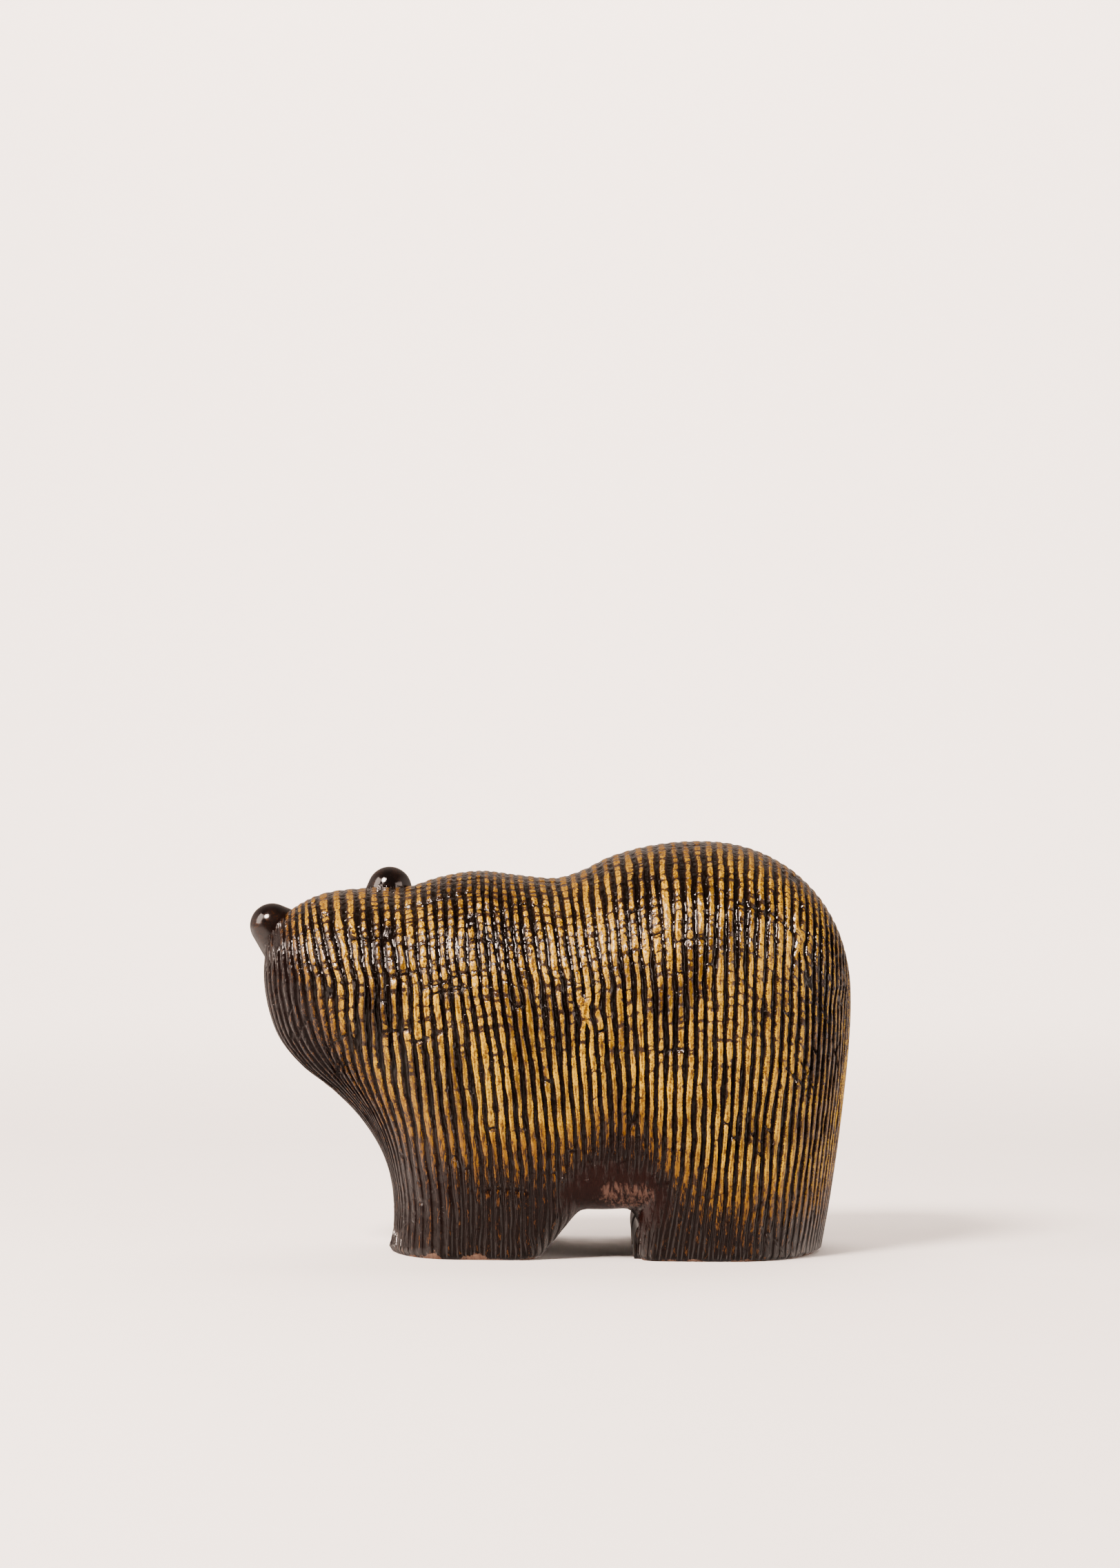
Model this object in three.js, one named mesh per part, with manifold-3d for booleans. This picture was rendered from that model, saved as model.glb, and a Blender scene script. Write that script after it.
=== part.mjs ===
// Ceramic bear figurine, one fired piece, in millimetres.
// The bear walks towards -X, shows its plain side to -Y and turns its face to +Y. The floor is z = 0.
import * as THREE from 'three';
import { mergeVertices } from 'three/addons/utils/BufferGeometryUtils.js';
import Module from 'manifold-3d';

// Side outline, x and z, from the front foot up over head, shoulder and rump to the rear foot
const OUTLINE = [
  [-46.2, 0], [-44.6, 7], [-44.7, 17], [-47.6, 27], [-53.7, 36.8], [-62, 45.2], [-70.5, 51.8],
  [-77, 59.8], [-80.3, 69], [-81.4, 79], [-79.5, 89.5], [-73.5, 96.2], [-65, 100.6],
  [-52.5, 102.3], [-41, 102.6], [-31, 105.6], [-20, 107.2], [-8, 105.9], [2, 105.2],
  [9, 107.3], [17, 111.2], [28, 114.3], [40, 115.6], [51, 115], [61, 112], [70, 106.5],
  [77.5, 98.5], [82.5, 89], [85, 79], [85.5, 70], [85, 58], [82.9, 38], [79.8, 16], [77, 0],
];
const BELOW_FLOOR = 60;
const OUTLINE_STEPS = 260;

// Half widths of the body along its length: head, neck, shoulders, waist, rump
const TRUNK_WIDTHS = [[-15, 38], [5, 38.5], [25, 41], [48, 42.5], [86, 41]];
const SHOWN_WIDTHS = [[-82, 31], [-62, 34], [-42, 34.5], ...TRUNK_WIDTHS];
const FACE_WIDTHS = [[-82, 30], [-62, 31], [-42, 33], ...TRUNK_WIDTHS];
const SOLE_NARROWING = 0.1;
const WIDEST_HEIGHT = 52;

// How far in from the outline the sides reach their full width
const BODY_ROUNDING = 42;
const FRONT_FOOT_ROUNDING = 18;
const REAR_FOOT_ROUNDING = 27;
const FOOT_ROUNDING_TOP = 62;
const ROUNDING_POWER = 2.1;

// Carved ribs
const RIB_COUNT = 68;
const GROOVE_DEPTH = 0.9;
const UPRIGHT_HEIGHT = 75;
const POINTS_DOWN_SIDE = 14;
const POINTS_UNDER = 3;

// Arch between the front and rear legs, and the low groove between left and right
const ARCH = { front: -3, ceilingFront: 8.4, ceilingRear: 22.6, rear: 24.4, heel: 23.4, ceiling: 14.1 };
const ARCH_CORNER = 2.4;
const ARCH_EDGE_ROUNDING = 6;
const LEG_GROOVE = { width: 14, height: 11 };
const BELLY = { x: 15, z: 16, width: 17, height: 15 };

// Ears, muzzle, nose and eyes
const EAR_RADIUS = 6.5;
const LOW_EAR = new THREE.Vector3(-79.2, 2, 91.5);
const HIGH_EAR = new THREE.Vector3(-46, 9, 101.8);
const EAR_TAPER = 0.72;
const MUZZLE = { x: -59, z: 69, length: 15.5, radius: 11 };
const NOSE_RADIUS = 4.8;
const EYE_RADIUS = 1.9;
const EYE_SPREAD = 8;
const EYE_RISE = 15;

const GLAZE_COLOUR = 0x5c3a16;

// Smooth curve through the outline points, as short straight steps
const outlineCurve = new THREE.CatmullRomCurve3(
  OUTLINE.map(([x, z]) => new THREE.Vector3(x, 0, z)), false, 'centripetal');
const outline = outlineCurve.getSpacedPoints(OUTLINE_STEPS);
const leftmost = outline.reduce((best, p, i) => (p.x < outline[best].x ? i : best), 0);
const rightmost = outline.reduce((best, p, i) => (p.x > outline[best].x ? i : best), 0);
const frontLine = outline.slice(0, leftmost + 1);
const topLine = outline.slice(leftmost, rightmost + 1);
const rearLine = outline.slice(rightmost).reverse();

// Value on a table of rising keys, straight between its rows
function lookUp(table, key) {
  if (key <= table[0][0]) return table[0][1];
  for (let i = 1; i < table.length; i++) {
    if (key <= table[i][0]) {
      const share = (key - table[i - 1][0]) / (table[i][0] - table[i - 1][0]);
      return table[i - 1][1] + share * (table[i][1] - table[i - 1][1]);
    }
  }
  return table[table.length - 1][1];
}

function smoothStep(low, high, value) {
  return THREE.MathUtils.smoothstep(value, low, high);
}

// The width tables are rounded off by averaging over a short stretch
function smoothWidth(table, x) {
  const reach = 9;
  let sum = 0;
  for (let k = -3; k <= 3; k++) sum += lookUp(table, x + (k * reach) / 3);
  return sum / 7;
}

const frontTable = frontLine.map((p) => [p.z, p.x]);
const rearTable = rearLine.map((p) => [p.z, p.x]);
const topTable = topLine.map((p) => [p.x, p.z]);

// Distance from the side outline. Well inside, it is a soft one that has no crease midway between two edges
const fence = [
  new THREE.Vector3(outline[0].x, 0, -BELOW_FLOOR),
  ...outline,
  new THREE.Vector3(outline[outline.length - 1].x, 0, -BELOW_FLOOR),
];
const fenceSteps = [];
for (let i = 0; i + 1 < fence.length; i++) {
  const along = fence[i + 1].clone().sub(fence[i]);
  const parts = Math.max(1, Math.round(along.length() / 2));
  for (let k = 0; k < parts; k++) {
    const start = fence[i].clone().addScaledVector(along, k / parts);
    const run = along.clone().divideScalar(parts);
    fenceSteps.push({ x: start.x, z: start.z, dx: run.x, dz: run.z, length: run.length() });
  }
}

function outlineDistance(x, z) {
  let nearest = Infinity;
  let sum = 0;
  for (const s of fenceSteps) {
    const px = x - s.x;
    const pz = z - s.z;
    const along = THREE.MathUtils.clamp((px * s.dx + pz * s.dz) / (s.length * s.length), 0, 1);
    nearest = Math.min(nearest, Math.hypot(px - along * s.dx, pz - along * s.dz));
    sum += s.length / Math.pow(Math.hypot(px - s.dx / 2, pz - s.dz / 2) + 1e-6, 6);
  }
  const soft = Math.pow(1.178 / sum, 1 / 5);
  return THREE.MathUtils.lerp(nearest, soft, smoothStep(3, 12, nearest));
}

// Distance from the arch between the legs, seen from the side
function archDistance(x, z) {
  const slope = ARCH.ceiling / (ARCH.ceilingFront - ARCH.front);
  const slant = (ARCH.front + z / slope - x) / Math.hypot(1, 1 / slope);
  return Math.max(slant, z - ARCH.ceiling, x - ARCH.rear);
}

// How full the side is, from 0 at the outline to 1 well inside it
function fullness(inside, rounding) {
  const left = Math.max(0, 1 - inside / rounding);
  return Math.pow(1 - Math.pow(left, ROUNDING_POWER), 1 / ROUNDING_POWER);
}

// Distance from the middle of the muzzle in its own radii, seen from the side
function muzzleDistance(x, z) {
  return Math.hypot(x - MUZZLE.x, z - MUZZLE.z) / MUZZLE.radius;
}

// Half width of the body at a point of the side view. face is true for the side that the head looks to
function sideWidth(x, z, face) {
  const inside = outlineDistance(x, z);
  const footRounding = THREE.MathUtils.lerp(FRONT_FOOT_ROUNDING, REAR_FOOT_ROUNDING, smoothStep(-20, 30, x));
  const rounding = THREE.MathUtils.lerp(footRounding, BODY_ROUNDING, smoothStep(0, FOOT_ROUNDING_TOP, z));
  const narrowing = 1 - SOLE_NARROWING * Math.max(0, 1 - z / WIDEST_HEIGHT) ** 2;
  let width = smoothWidth(face ? FACE_WIDTHS : SHOWN_WIDTHS, x) * narrowing * fullness(inside, rounding);
  if (face) width += (MUZZLE.length / (1 + muzzleDistance(x, z) ** 4)) * smoothStep(0, 14, inside);
  const edge = THREE.MathUtils.clamp(1 - archDistance(x, z) / ARCH_EDGE_ROUNDING, 0, 1);
  return Math.max(0, width - ARCH_EDGE_ROUNDING * (1 - Math.sqrt(1 - edge * edge)));
}

// At each height, the ribs share out the way round the side evenly, from front to rear
const LEVEL_STEP = 2.5;
const LEVEL_POINTS = 160;
const levels = [];
for (let z = 0; z <= UPRIGHT_HEIGHT; z += LEVEL_STEP) {
  const front = lookUp(frontTable, z);
  const rear = lookUp(rearTable, z);
  const rows = [{ arc: 0, x: front, y: 0 }];
  for (let k = 1; k <= LEVEL_POINTS; k++) {
    const x = front + ((rear - front) * (1 - Math.cos((Math.PI * k) / LEVEL_POINTS))) / 2;
    const full = k === LEVEL_POINTS ? 0 : fullness(outlineDistance(x, z), BODY_ROUNDING);
    const y = lookUp(SHOWN_WIDTHS, x) * full;
    const last = rows[k - 1];
    rows.push({ arc: last.arc + Math.hypot(x - last.x, y - last.y), x, y });
  }
  levels.push(rows.map((row) => [row.arc / rows[LEVEL_POINTS].arc, row.x]));
}

function ribX(share, z) {
  const level = THREE.MathUtils.clamp(z, 0, UPRIGHT_HEIGHT - 1e-6) / LEVEL_STEP;
  const k = Math.floor(level);
  return THREE.MathUtils.lerp(lookUp(levels[k], share), lookUp(levels[k + 1] ?? levels[k], share), level - k);
}

// One side of a rib line, from the back down to the sole, in even steps along the clay
function sideOfRib(share, face) {
  const edge = share === 0 || share === 1;
  const top = edge ? UPRIGHT_HEIGHT : lookUp(topTable, ribX(share, UPRIGHT_HEIGHT));
  const fine = [];
  const arcs = [0];
  const count = 90;
  for (let k = 0; k <= count; k++) {
    const z = Math.max(0, top * Math.cos((Math.PI * k) / (2 * count)));
    const x = ribX(share, z);
    const y = edge || k === 0 ? 0 : sideWidth(x, z, face);
    fine.push(new THREE.Vector3(x, face ? y : -y, k === count ? 0 : z));
    if (k) arcs.push(arcs[k - 1] + fine[k].distanceTo(fine[k - 1]));
  }
  const line = [];
  let k = 1;
  for (let j = 0; j <= POINTS_DOWN_SIDE; j++) {
    const target = (arcs[count] * j) / POINTS_DOWN_SIDE;
    while (k < count && arcs[k] < target) k++;
    line.push(fine[k - 1].clone().lerp(fine[k], (target - arcs[k - 1]) / (arcs[k] - arcs[k - 1])));
  }
  return line;
}

// A closed ring: over the back, down the shown side, under the body and up the face side
function ribRing(share) {
  const shown = sideOfRib(share, false);
  const face = sideOfRib(share, true);
  const shownSole = shown[POINTS_DOWN_SIDE];
  const faceSole = face[POINTS_DOWN_SIDE];
  const under = [];
  for (let k = 1; k <= POINTS_UNDER; k++) {
    under.push(shownSole.clone().lerp(faceSole, k / (POINTS_UNDER + 1)));
  }
  return [...shown, ...under, ...face.slice(1).reverse()];
}

// The belly above the arch and the muzzle were wiped smooth, and the grooves run out at the soles
function grooveDepth(point) {
  const bellyDistance = Math.hypot((point.x - BELLY.x) / BELLY.width, (point.z - BELLY.z) / BELLY.height);
  const wiped = point.y < 0 ? bellyDistance : muzzleDistance(point.x, point.z) / 1.3;
  return GROOVE_DEPTH * smoothStep(0.75, 1.15, wiped) * smoothStep(0, 4, point.z);
}

function carve(rings) {
  const size = rings[0].length;
  return rings.map((ring, i) => ring.map((point, j) => {
    if (i % 2 === 0 || point.z < 0.01) return point;
    const along = rings[i + 1][j].clone().sub(rings[i - 1][j]);
    const round = ring[(j + 1) % size].clone().sub(ring[(j + size - 1) % size]);
    const outward = round.cross(along).normalize();
    return point.clone().addScaledVector(outward, -grooveDepth(point));
  }));
}

// Closed mesh from rings. The first and last ring are flat slits, whose two sides are the same line
function loft(rings) {
  const size = rings[0].length;
  const geometry = new THREE.BufferGeometry().setFromPoints(rings.flat());
  const faces = [];
  for (let i = 0; i + 1 < rings.length; i++) {
    for (let j = 0; j < size; j++) {
      const next = (j + 1) % size;
      const a = i * size + j;
      const b = i * size + next;
      faces.push(a, b, b + size, a, b + size, a + size);
    }
  }
  geometry.setIndex(faces);
  return geometry;
}

const wasm = await Module();
wasm.setup();

function solid(geometry) {
  const bare = geometry.clone();
  bare.deleteAttribute('normal');
  bare.deleteAttribute('uv');
  const merged = mergeVertices(bare, 1e-4);
  const corners = merged.index.array;
  const kept = [];
  for (let i = 0; i < corners.length; i += 3) {
    const [a, b, c] = [corners[i], corners[i + 1], corners[i + 2]];
    if (a !== b && b !== c && c !== a) kept.push(a, b, c);
  }
  const vertProperties = new Float32Array(merged.attributes.position.array);
  return new wasm.Manifold(new wasm.Mesh({ numProp: 3, vertProperties, triVerts: new Uint32Array(kept) }));
}

function ball(radius, centre, stretch = new THREE.Vector3(1, 1, 1)) {
  const geometry = new THREE.SphereGeometry(radius, 14, 9);
  geometry.scale(stretch.x, stretch.y, stretch.z);
  geometry.translate(centre.x, centre.y, centre.z);
  return solid(geometry);
}

// An ear is a ball on a short stub that leans into the head
function ear(centre, root) {
  const axis = root.clone().sub(centre);
  const stub = new THREE.CylinderGeometry(EAR_RADIUS * 1.05, EAR_RADIUS * EAR_TAPER, axis.length(), 14);
  stub.applyQuaternion(new THREE.Quaternion().setFromUnitVectors(
    new THREE.Vector3(0, 1, 0), axis.clone().normalize()));
  const middle = centre.clone().lerp(root, 0.5);
  stub.translate(middle.x, middle.y, middle.z);
  return ball(EAR_RADIUS, centre).add(solid(stub));
}

// Prism along Y in the outline of the leg arch
function archCutter() {
  const shape = new THREE.Shape();
  const slope = ARCH.ceiling / (ARCH.ceilingFront - ARCH.front);
  shape.moveTo(ARCH.front - 4 / slope, -4);
  shape.lineTo(ARCH.ceilingFront - ARCH_CORNER / slope, ARCH.ceiling - ARCH_CORNER);
  shape.quadraticCurveTo(ARCH.ceilingFront, ARCH.ceiling, ARCH.ceilingFront + ARCH_CORNER, ARCH.ceiling);
  shape.lineTo(ARCH.ceilingRear - ARCH_CORNER, ARCH.ceiling);
  shape.quadraticCurveTo(ARCH.ceilingRear + 1, ARCH.ceiling, ARCH.rear, ARCH.ceiling - 2 * ARCH_CORNER);
  shape.quadraticCurveTo(ARCH.heel - 0.6, ARCH.ceiling / 2, ARCH.heel, 2);
  shape.lineTo(ARCH.heel, -4);
  const geometry = new THREE.ExtrudeGeometry(shape, { depth: 140, bevelEnabled: false, curveSegments: 5 });
  geometry.rotateX(Math.PI / 2);
  geometry.translate(0, 70, 0);
  return solid(geometry);
}

// Round-topped prism along X between the left and right legs
function legGrooveCutter() {
  const half = LEG_GROOVE.width / 2;
  const shape = new THREE.Shape();
  shape.moveTo(-half, -4);
  shape.lineTo(half, -4);
  shape.lineTo(half, LEG_GROOVE.height - half);
  shape.absarc(0, LEG_GROOVE.height - half, half, 0, Math.PI, false);
  const geometry = new THREE.ExtrudeGeometry(shape, { depth: 200, bevelEnabled: false, curveSegments: 8 });
  geometry.rotateX(Math.PI / 2);
  geometry.rotateZ(Math.PI / 2);
  geometry.translate(-80, 0, 0);
  return solid(geometry);
}

// The face looks to +Y. Its eyes lie along the line from ear to ear
function face(body) {
  const earLine = HIGH_EAR.clone().sub(LOW_EAR).setY(0).normalize();
  const up = new THREE.Vector3(-earLine.z, 0, earLine.x);
  const tip = sideWidth(MUZZLE.x, MUZZLE.z, true);
  const nose = new THREE.Vector3(MUZZLE.x, tip - 0.5, MUZZLE.z).addScaledVector(up, 2.5);
  let made = body.add(ball(NOSE_RADIUS, nose, new THREE.Vector3(1.25, 0.8, 1)));
  for (const side of [-1, 1]) {
    const eye = new THREE.Vector3(MUZZLE.x, 0, MUZZLE.z)
      .addScaledVector(up, EYE_RISE).addScaledVector(earLine, side * EYE_SPREAD);
    eye.y = sideWidth(eye.x, eye.z, true) + EYE_RADIUS * 0.4;
    made = made.subtract(ball(EYE_RADIUS, eye));
  }
  return made;
}

function bear() {
  const rings = [];
  for (let i = 0; i <= 2 * RIB_COUNT; i++) rings.push(ribRing(i / (2 * RIB_COUNT)));
  let made = solid(loft(carve(rings)));
  made = made.add(ear(LOW_EAR, new THREE.Vector3(-73, 3, 86)));
  made = made.add(ear(HIGH_EAR, new THREE.Vector3(-50, 8, 92)));
  made = face(made);
  made = made.subtract(archCutter()).subtract(legGrooveCutter());
  const mesh = made.getMesh();
  const geometry = new THREE.BufferGeometry();
  geometry.setAttribute('position', new THREE.BufferAttribute(new Float32Array(mesh.vertProperties), 3));
  geometry.setIndex(new THREE.BufferAttribute(new Uint32Array(mesh.triVerts), 1));
  geometry.computeVertexNormals();
  const glaze = new THREE.MeshStandardMaterial({ color: GLAZE_COLOUR, roughness: 0.25, metalness: 0 });
  const piece = new THREE.Mesh(geometry, glaze);
  piece.name = 'bear';
  return piece;
}

// The model's origin is on the floor, under the middle of its box
const figurine = new THREE.Group();
const piece = bear();
const box = new THREE.Box3().setFromBufferAttribute(piece.geometry.attributes.position);
piece.position.set(-(box.min.x + box.max.x) / 2, -(box.min.y + box.max.y) / 2, 0);
figurine.add(piece);

export default figurine;
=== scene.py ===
# %% [markdown]
# The object is a standing bear of glazed stoneware, about 17 cm long. It was cast in one piece, and its
# coat is a set of upright grooves cut into the damp clay. Dark glaze pooled in the grooves, and a honey
# glaze stayed on the ribs between them.
# The frame brings the solid part at its real size. Everything here is in metres, in that part's axes:
# the bear walks towards -X, turns its face to +Y and stands on z = 0.

# %% Load the frame
import math

import bmesh
import bpy
import numpy as np
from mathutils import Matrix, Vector


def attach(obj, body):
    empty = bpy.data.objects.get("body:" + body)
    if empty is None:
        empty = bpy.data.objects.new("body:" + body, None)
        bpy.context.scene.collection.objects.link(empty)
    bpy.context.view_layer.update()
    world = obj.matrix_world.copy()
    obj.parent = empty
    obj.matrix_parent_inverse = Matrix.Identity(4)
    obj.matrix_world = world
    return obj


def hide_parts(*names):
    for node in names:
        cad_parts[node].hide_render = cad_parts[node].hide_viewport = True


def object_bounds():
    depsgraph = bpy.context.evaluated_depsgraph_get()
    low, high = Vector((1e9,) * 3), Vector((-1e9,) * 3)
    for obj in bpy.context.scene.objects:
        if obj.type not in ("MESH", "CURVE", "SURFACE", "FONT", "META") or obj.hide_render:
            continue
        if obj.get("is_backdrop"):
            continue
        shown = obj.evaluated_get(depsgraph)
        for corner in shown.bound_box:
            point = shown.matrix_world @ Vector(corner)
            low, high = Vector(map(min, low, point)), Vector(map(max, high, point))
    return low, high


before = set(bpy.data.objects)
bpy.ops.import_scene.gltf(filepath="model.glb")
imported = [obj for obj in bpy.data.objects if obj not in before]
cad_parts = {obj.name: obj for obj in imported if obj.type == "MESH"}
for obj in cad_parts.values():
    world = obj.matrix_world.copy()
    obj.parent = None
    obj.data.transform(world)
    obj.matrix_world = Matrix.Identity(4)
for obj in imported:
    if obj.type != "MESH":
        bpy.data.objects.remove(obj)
cad_low, cad_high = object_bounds()
print("frame box in mm:", [round(v * 1000, 1) for v in cad_high - cad_low])

# %% [markdown]
# The body is drawn first as a side outline, the way a modeller cuts a profile card. A curve through a few
# points needs a rule for how it bends between them. The centripetal Catmull-Rom curve is used, because it
# passes through each point and makes no loops where points lie close together.
# The outline is given in millimetres, with its zero a little off the frame's, so one shift brings it home.

# %% Side outline
MM = 0.001
ORIGIN_SHIFT = np.array([-0.386, -1.623, 0.0])
OUTLINE = [
    (-46.2, 0), (-44.6, 7), (-44.7, 17), (-47.6, 27), (-53.7, 36.8), (-62, 45.2), (-70.5, 51.8),
    (-77, 59.8), (-80.3, 69), (-81.4, 79), (-79.5, 89.5), (-73.5, 96.2), (-65, 100.6),
    (-52.5, 102.3), (-41, 102.6), (-31, 105.6), (-20, 107.2), (-8, 105.9), (2, 105.2),
    (9, 107.3), (17, 111.2), (28, 114.3), (40, 115.6), (51, 115), (61, 112), (70, 106.5),
    (77.5, 98.5), (82.5, 89), (85, 79), (85.5, 70), (85, 58), (82.9, 38), (79.8, 16), (77, 0),
]
OUTLINE_STEPS = 260


def curve_piece(a, b, c, d, share):
    """Points between b and c on the centripetal curve through a, b, c and d."""
    first, middle, last = (math.sqrt(np.linalg.norm(q - p)) for p, q in ((a, b), (b, c), (c, d)))
    start = ((b - a) / first - (c - a) / (first + middle) + (c - b) / middle) * middle
    end = ((c - b) / middle - (d - b) / (middle + last) + (d - c) / last) * middle
    t = share[:, None]
    return (2 * t**3 - 3 * t**2 + 1) * b + (t**3 - 2 * t**2 + t) * start \
        + (3 * t**2 - 2 * t**3) * c + (t**3 - t**2) * end


def smooth_line(points, steps):
    """The curve through the points, cut into steps of equal length."""
    points = np.array(points, float)
    points = np.vstack([2 * points[0] - points[1], points, 2 * points[-1] - points[-2]])
    share = np.linspace(0, 1, 40, endpoint=False)
    fine = [curve_piece(*points[i:i + 4], share) for i in range(len(points) - 3)]
    fine = np.vstack(fine + [points[-2:-1]])
    run = np.append(0, np.cumsum(np.linalg.norm(np.diff(fine, axis=0), axis=1)))
    even = np.linspace(0, run[-1], steps + 1)
    return np.column_stack([np.interp(even, run, fine[:, k]) for k in (0, 1)])


outline = smooth_line(OUTLINE, OUTLINE_STEPS)
leftmost, rightmost = outline[:, 0].argmin(), outline[:, 0].argmax()
front_line = outline[:leftmost + 1]
top_line = outline[leftmost:rightmost + 1]
rear_line = outline[:rightmost - 1:-1]
print("outline steps:", len(outline), "length in mm:", round(float(np.ptp(outline[:, 0])), 1))

# %% [markdown]
# The profile card is then puffed up like a cushion: the further a point lies inside the outline, the
# further the side stands out, until it reaches the body's full half width. A subdivided cage could give
# the same form, but this rule keeps the outline exact and lets every groove be placed by a formula.
# Deep inside, a soft distance is used, which adds up the pull of the whole outline. The plain distance has
# a crease midway between two edges, and it would show as a ridge in the glaze.

# %% Distance from the outline
BELOW_FLOOR = 60
fence = np.vstack([(outline[0, 0], -BELOW_FLOOR), outline, (outline[-1, 0], -BELOW_FLOOR)])
fence_ends = []
for low, high in zip(fence[:-1], fence[1:]):
    parts = max(1, round(float(np.linalg.norm(high - low)) / 2))
    cuts = low + (high - low) * (np.arange(parts + 1) / parts)[:, None]
    fence_ends += list(zip(cuts[:-1], cuts[1:]))
fence_start = np.array([pair[0] for pair in fence_ends])
fence_run = np.array([pair[1] for pair in fence_ends]) - fence_start
fence_length = np.linalg.norm(fence_run, axis=1)


def smooth_step(low, high, value):
    t = np.clip((value - low) / (high - low), 0, 1)
    return t * t * (3 - 2 * t)


def outline_distance(x, z):
    """Distance in mm from the side outline, soft where it is deep."""
    flat = np.column_stack([np.ravel(x), np.ravel(z)])
    found = np.empty(len(flat))
    for first in range(0, len(flat), 8000):
        p = flat[first:first + 8000, None, :] - fence_start
        along = np.clip((p * fence_run).sum(2) / fence_length**2, 0, 1)
        off = p - along[..., None] * fence_run
        nearest = np.sqrt((off * off).sum(2).min(1))
        middle = p - fence_run / 2
        pull = (fence_length / ((middle * middle).sum(2) + 1e-9) ** 3).sum(1)
        mix = smooth_step(3, 12, nearest)
        found[first:first + 8000] = nearest * (1 - mix) + (1.178 / pull) ** 0.2 * mix
    return found.reshape(np.shape(x))


print("outline pieces:", len(fence_run))

# %% [markdown]
# Half widths are read from a short list along the body: head, neck, shoulders, waist and rump. The feet are
# boxier than the barrel above them, so the rounding gets tighter towards the floor. On the far side the
# muzzle swells out of the head, because the bear looks that way. Round the arch between the legs, the side
# rolls inwards like a thumbed edge.

# %% Half width of the body
TRUNK_WIDTHS = [(-15, 38), (5, 38.5), (25, 41), (48, 42.5), (86, 41)]
SHOWN_WIDTHS = np.array([(-82, 31), (-62, 34), (-42, 34.5)] + TRUNK_WIDTHS)
FACE_WIDTHS = np.array([(-82, 30), (-62, 31), (-42, 33)] + TRUNK_WIDTHS)
SOLE_NARROWING, WIDEST_HEIGHT = 0.1, 52
GLAZE_SHARE = 0.992
BODY_ROUNDING, FRONT_FOOT_ROUNDING, REAR_FOOT_ROUNDING = 42, 18, 27
FOOT_ROUNDING_TOP, ROUNDING_POWER = 62, 2.1
ARCH_FRONT, ARCH_CEILING_FRONT, ARCH_CEILING_REAR = -3, 8.4, 22.6
ARCH_REAR, ARCH_HEEL, ARCH_CEILING = 24.4, 23.4, 14.1
ARCH_CORNER, ARCH_EDGE_ROUNDING = 2.4, 6
MUZZLE_X, MUZZLE_Z, MUZZLE_LENGTH, MUZZLE_RADIUS = -59, 69, 15.5, 11


def fullness(inside, rounding):
    left = np.clip(1 - inside / rounding, 0, 1)
    return (1 - left**ROUNDING_POWER) ** (1 / ROUNDING_POWER)


def arch_distance(x, z):
    slope = ARCH_CEILING / (ARCH_CEILING_FRONT - ARCH_FRONT)
    slant = (ARCH_FRONT + z / slope - x) / math.hypot(1, 1 / slope)
    return np.maximum(np.maximum(slant, z - ARCH_CEILING), x - ARCH_REAR)


def muzzle_distance(x, z):
    return np.hypot(x - MUZZLE_X, z - MUZZLE_Z) / MUZZLE_RADIUS


def side_width(x, z, face):
    """Half width in mm at a point of the side view, on the shown side or on the face's."""
    inside = outline_distance(x, z)
    foot = FRONT_FOOT_ROUNDING + (REAR_FOOT_ROUNDING - FRONT_FOOT_ROUNDING) * smooth_step(-20, 30, x)
    rounding = foot + (BODY_ROUNDING - foot) * smooth_step(0, FOOT_ROUNDING_TOP, z)
    table = FACE_WIDTHS if face else SHOWN_WIDTHS
    wide = GLAZE_SHARE * sum(np.interp(x + 3 * k, table[:, 0], table[:, 1]) for k in range(-3, 4)) / 7
    wide = wide * (1 - SOLE_NARROWING * np.maximum(0, 1 - z / WIDEST_HEIGHT) ** 2)
    wide = wide * fullness(inside, rounding)
    if face:
        wide = wide + MUZZLE_LENGTH / (1 + muzzle_distance(x, z) ** 4) * smooth_step(0, 14, inside)
    edge = np.clip(1 - arch_distance(x, z) / ARCH_EDGE_ROUNDING, 0, 1)
    return np.maximum(0, wide - ARCH_EDGE_ROUNDING * (1 - np.sqrt(1 - edge**2)))


print("half width at the rump in mm:", round(float(side_width(np.array(48.0), np.array(52.0), False)), 1))

# %% [markdown]
# The ribs run from the back down to the soles, and each one was drawn by hand. A few guide lines say where
# ribs pass at a few heights: nearly upright on the flank, leaning a little on the shoulder, and following
# the throat down to the chest. All other ribs share out the space between two guides evenly. A rib keeps a
# number, from 0 at the throat to the last at the rump, and that number times a height gives its place.

# %% Guide lines for the ribs
RIBS = 73
GUIDE_HEIGHT = 75
GUIDES = [-70, -60, -52, -44, -36, -20, -4, 12, 28, 44, 60, 74]
GUIDE_PATHS = np.array([
    (0, -44.8, -43.4, -41.6, -37.5, -28.6, -14, 0, 12, 24.5, 40, 54.5, 66.5),
    (15, -43.6, -42.4, -40.9, -36.5, -28.6, -13.2, 1.6, 14, 26.5, 41.9, 55.7, 69.2),
    (30, -46.6, -45.4, -43.6, -39, -30.4, -13.8, 0.9, 14.5, 28.3, 43.3, 56.5, 70.8),
    (40, -51.2, -49.8, -47.3, -41.2, -32, -15.3, -0.3, 14.3, 28.6, 43.7, 57.3, 71.8),
    (50, -60, -56.6, -51.2, -43, -33.1, -16.1, -1.5, 14.1, 28.8, 43.8, 58.5, 73),
    (60, -66.8, -58.8, -51.8, -43.8, -34.5, -17.4, -2.3, 13.4, 28.4, 43.9, 59.4, 73.5),
    (GUIDE_HEIGHT, *GUIDES),
])
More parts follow.
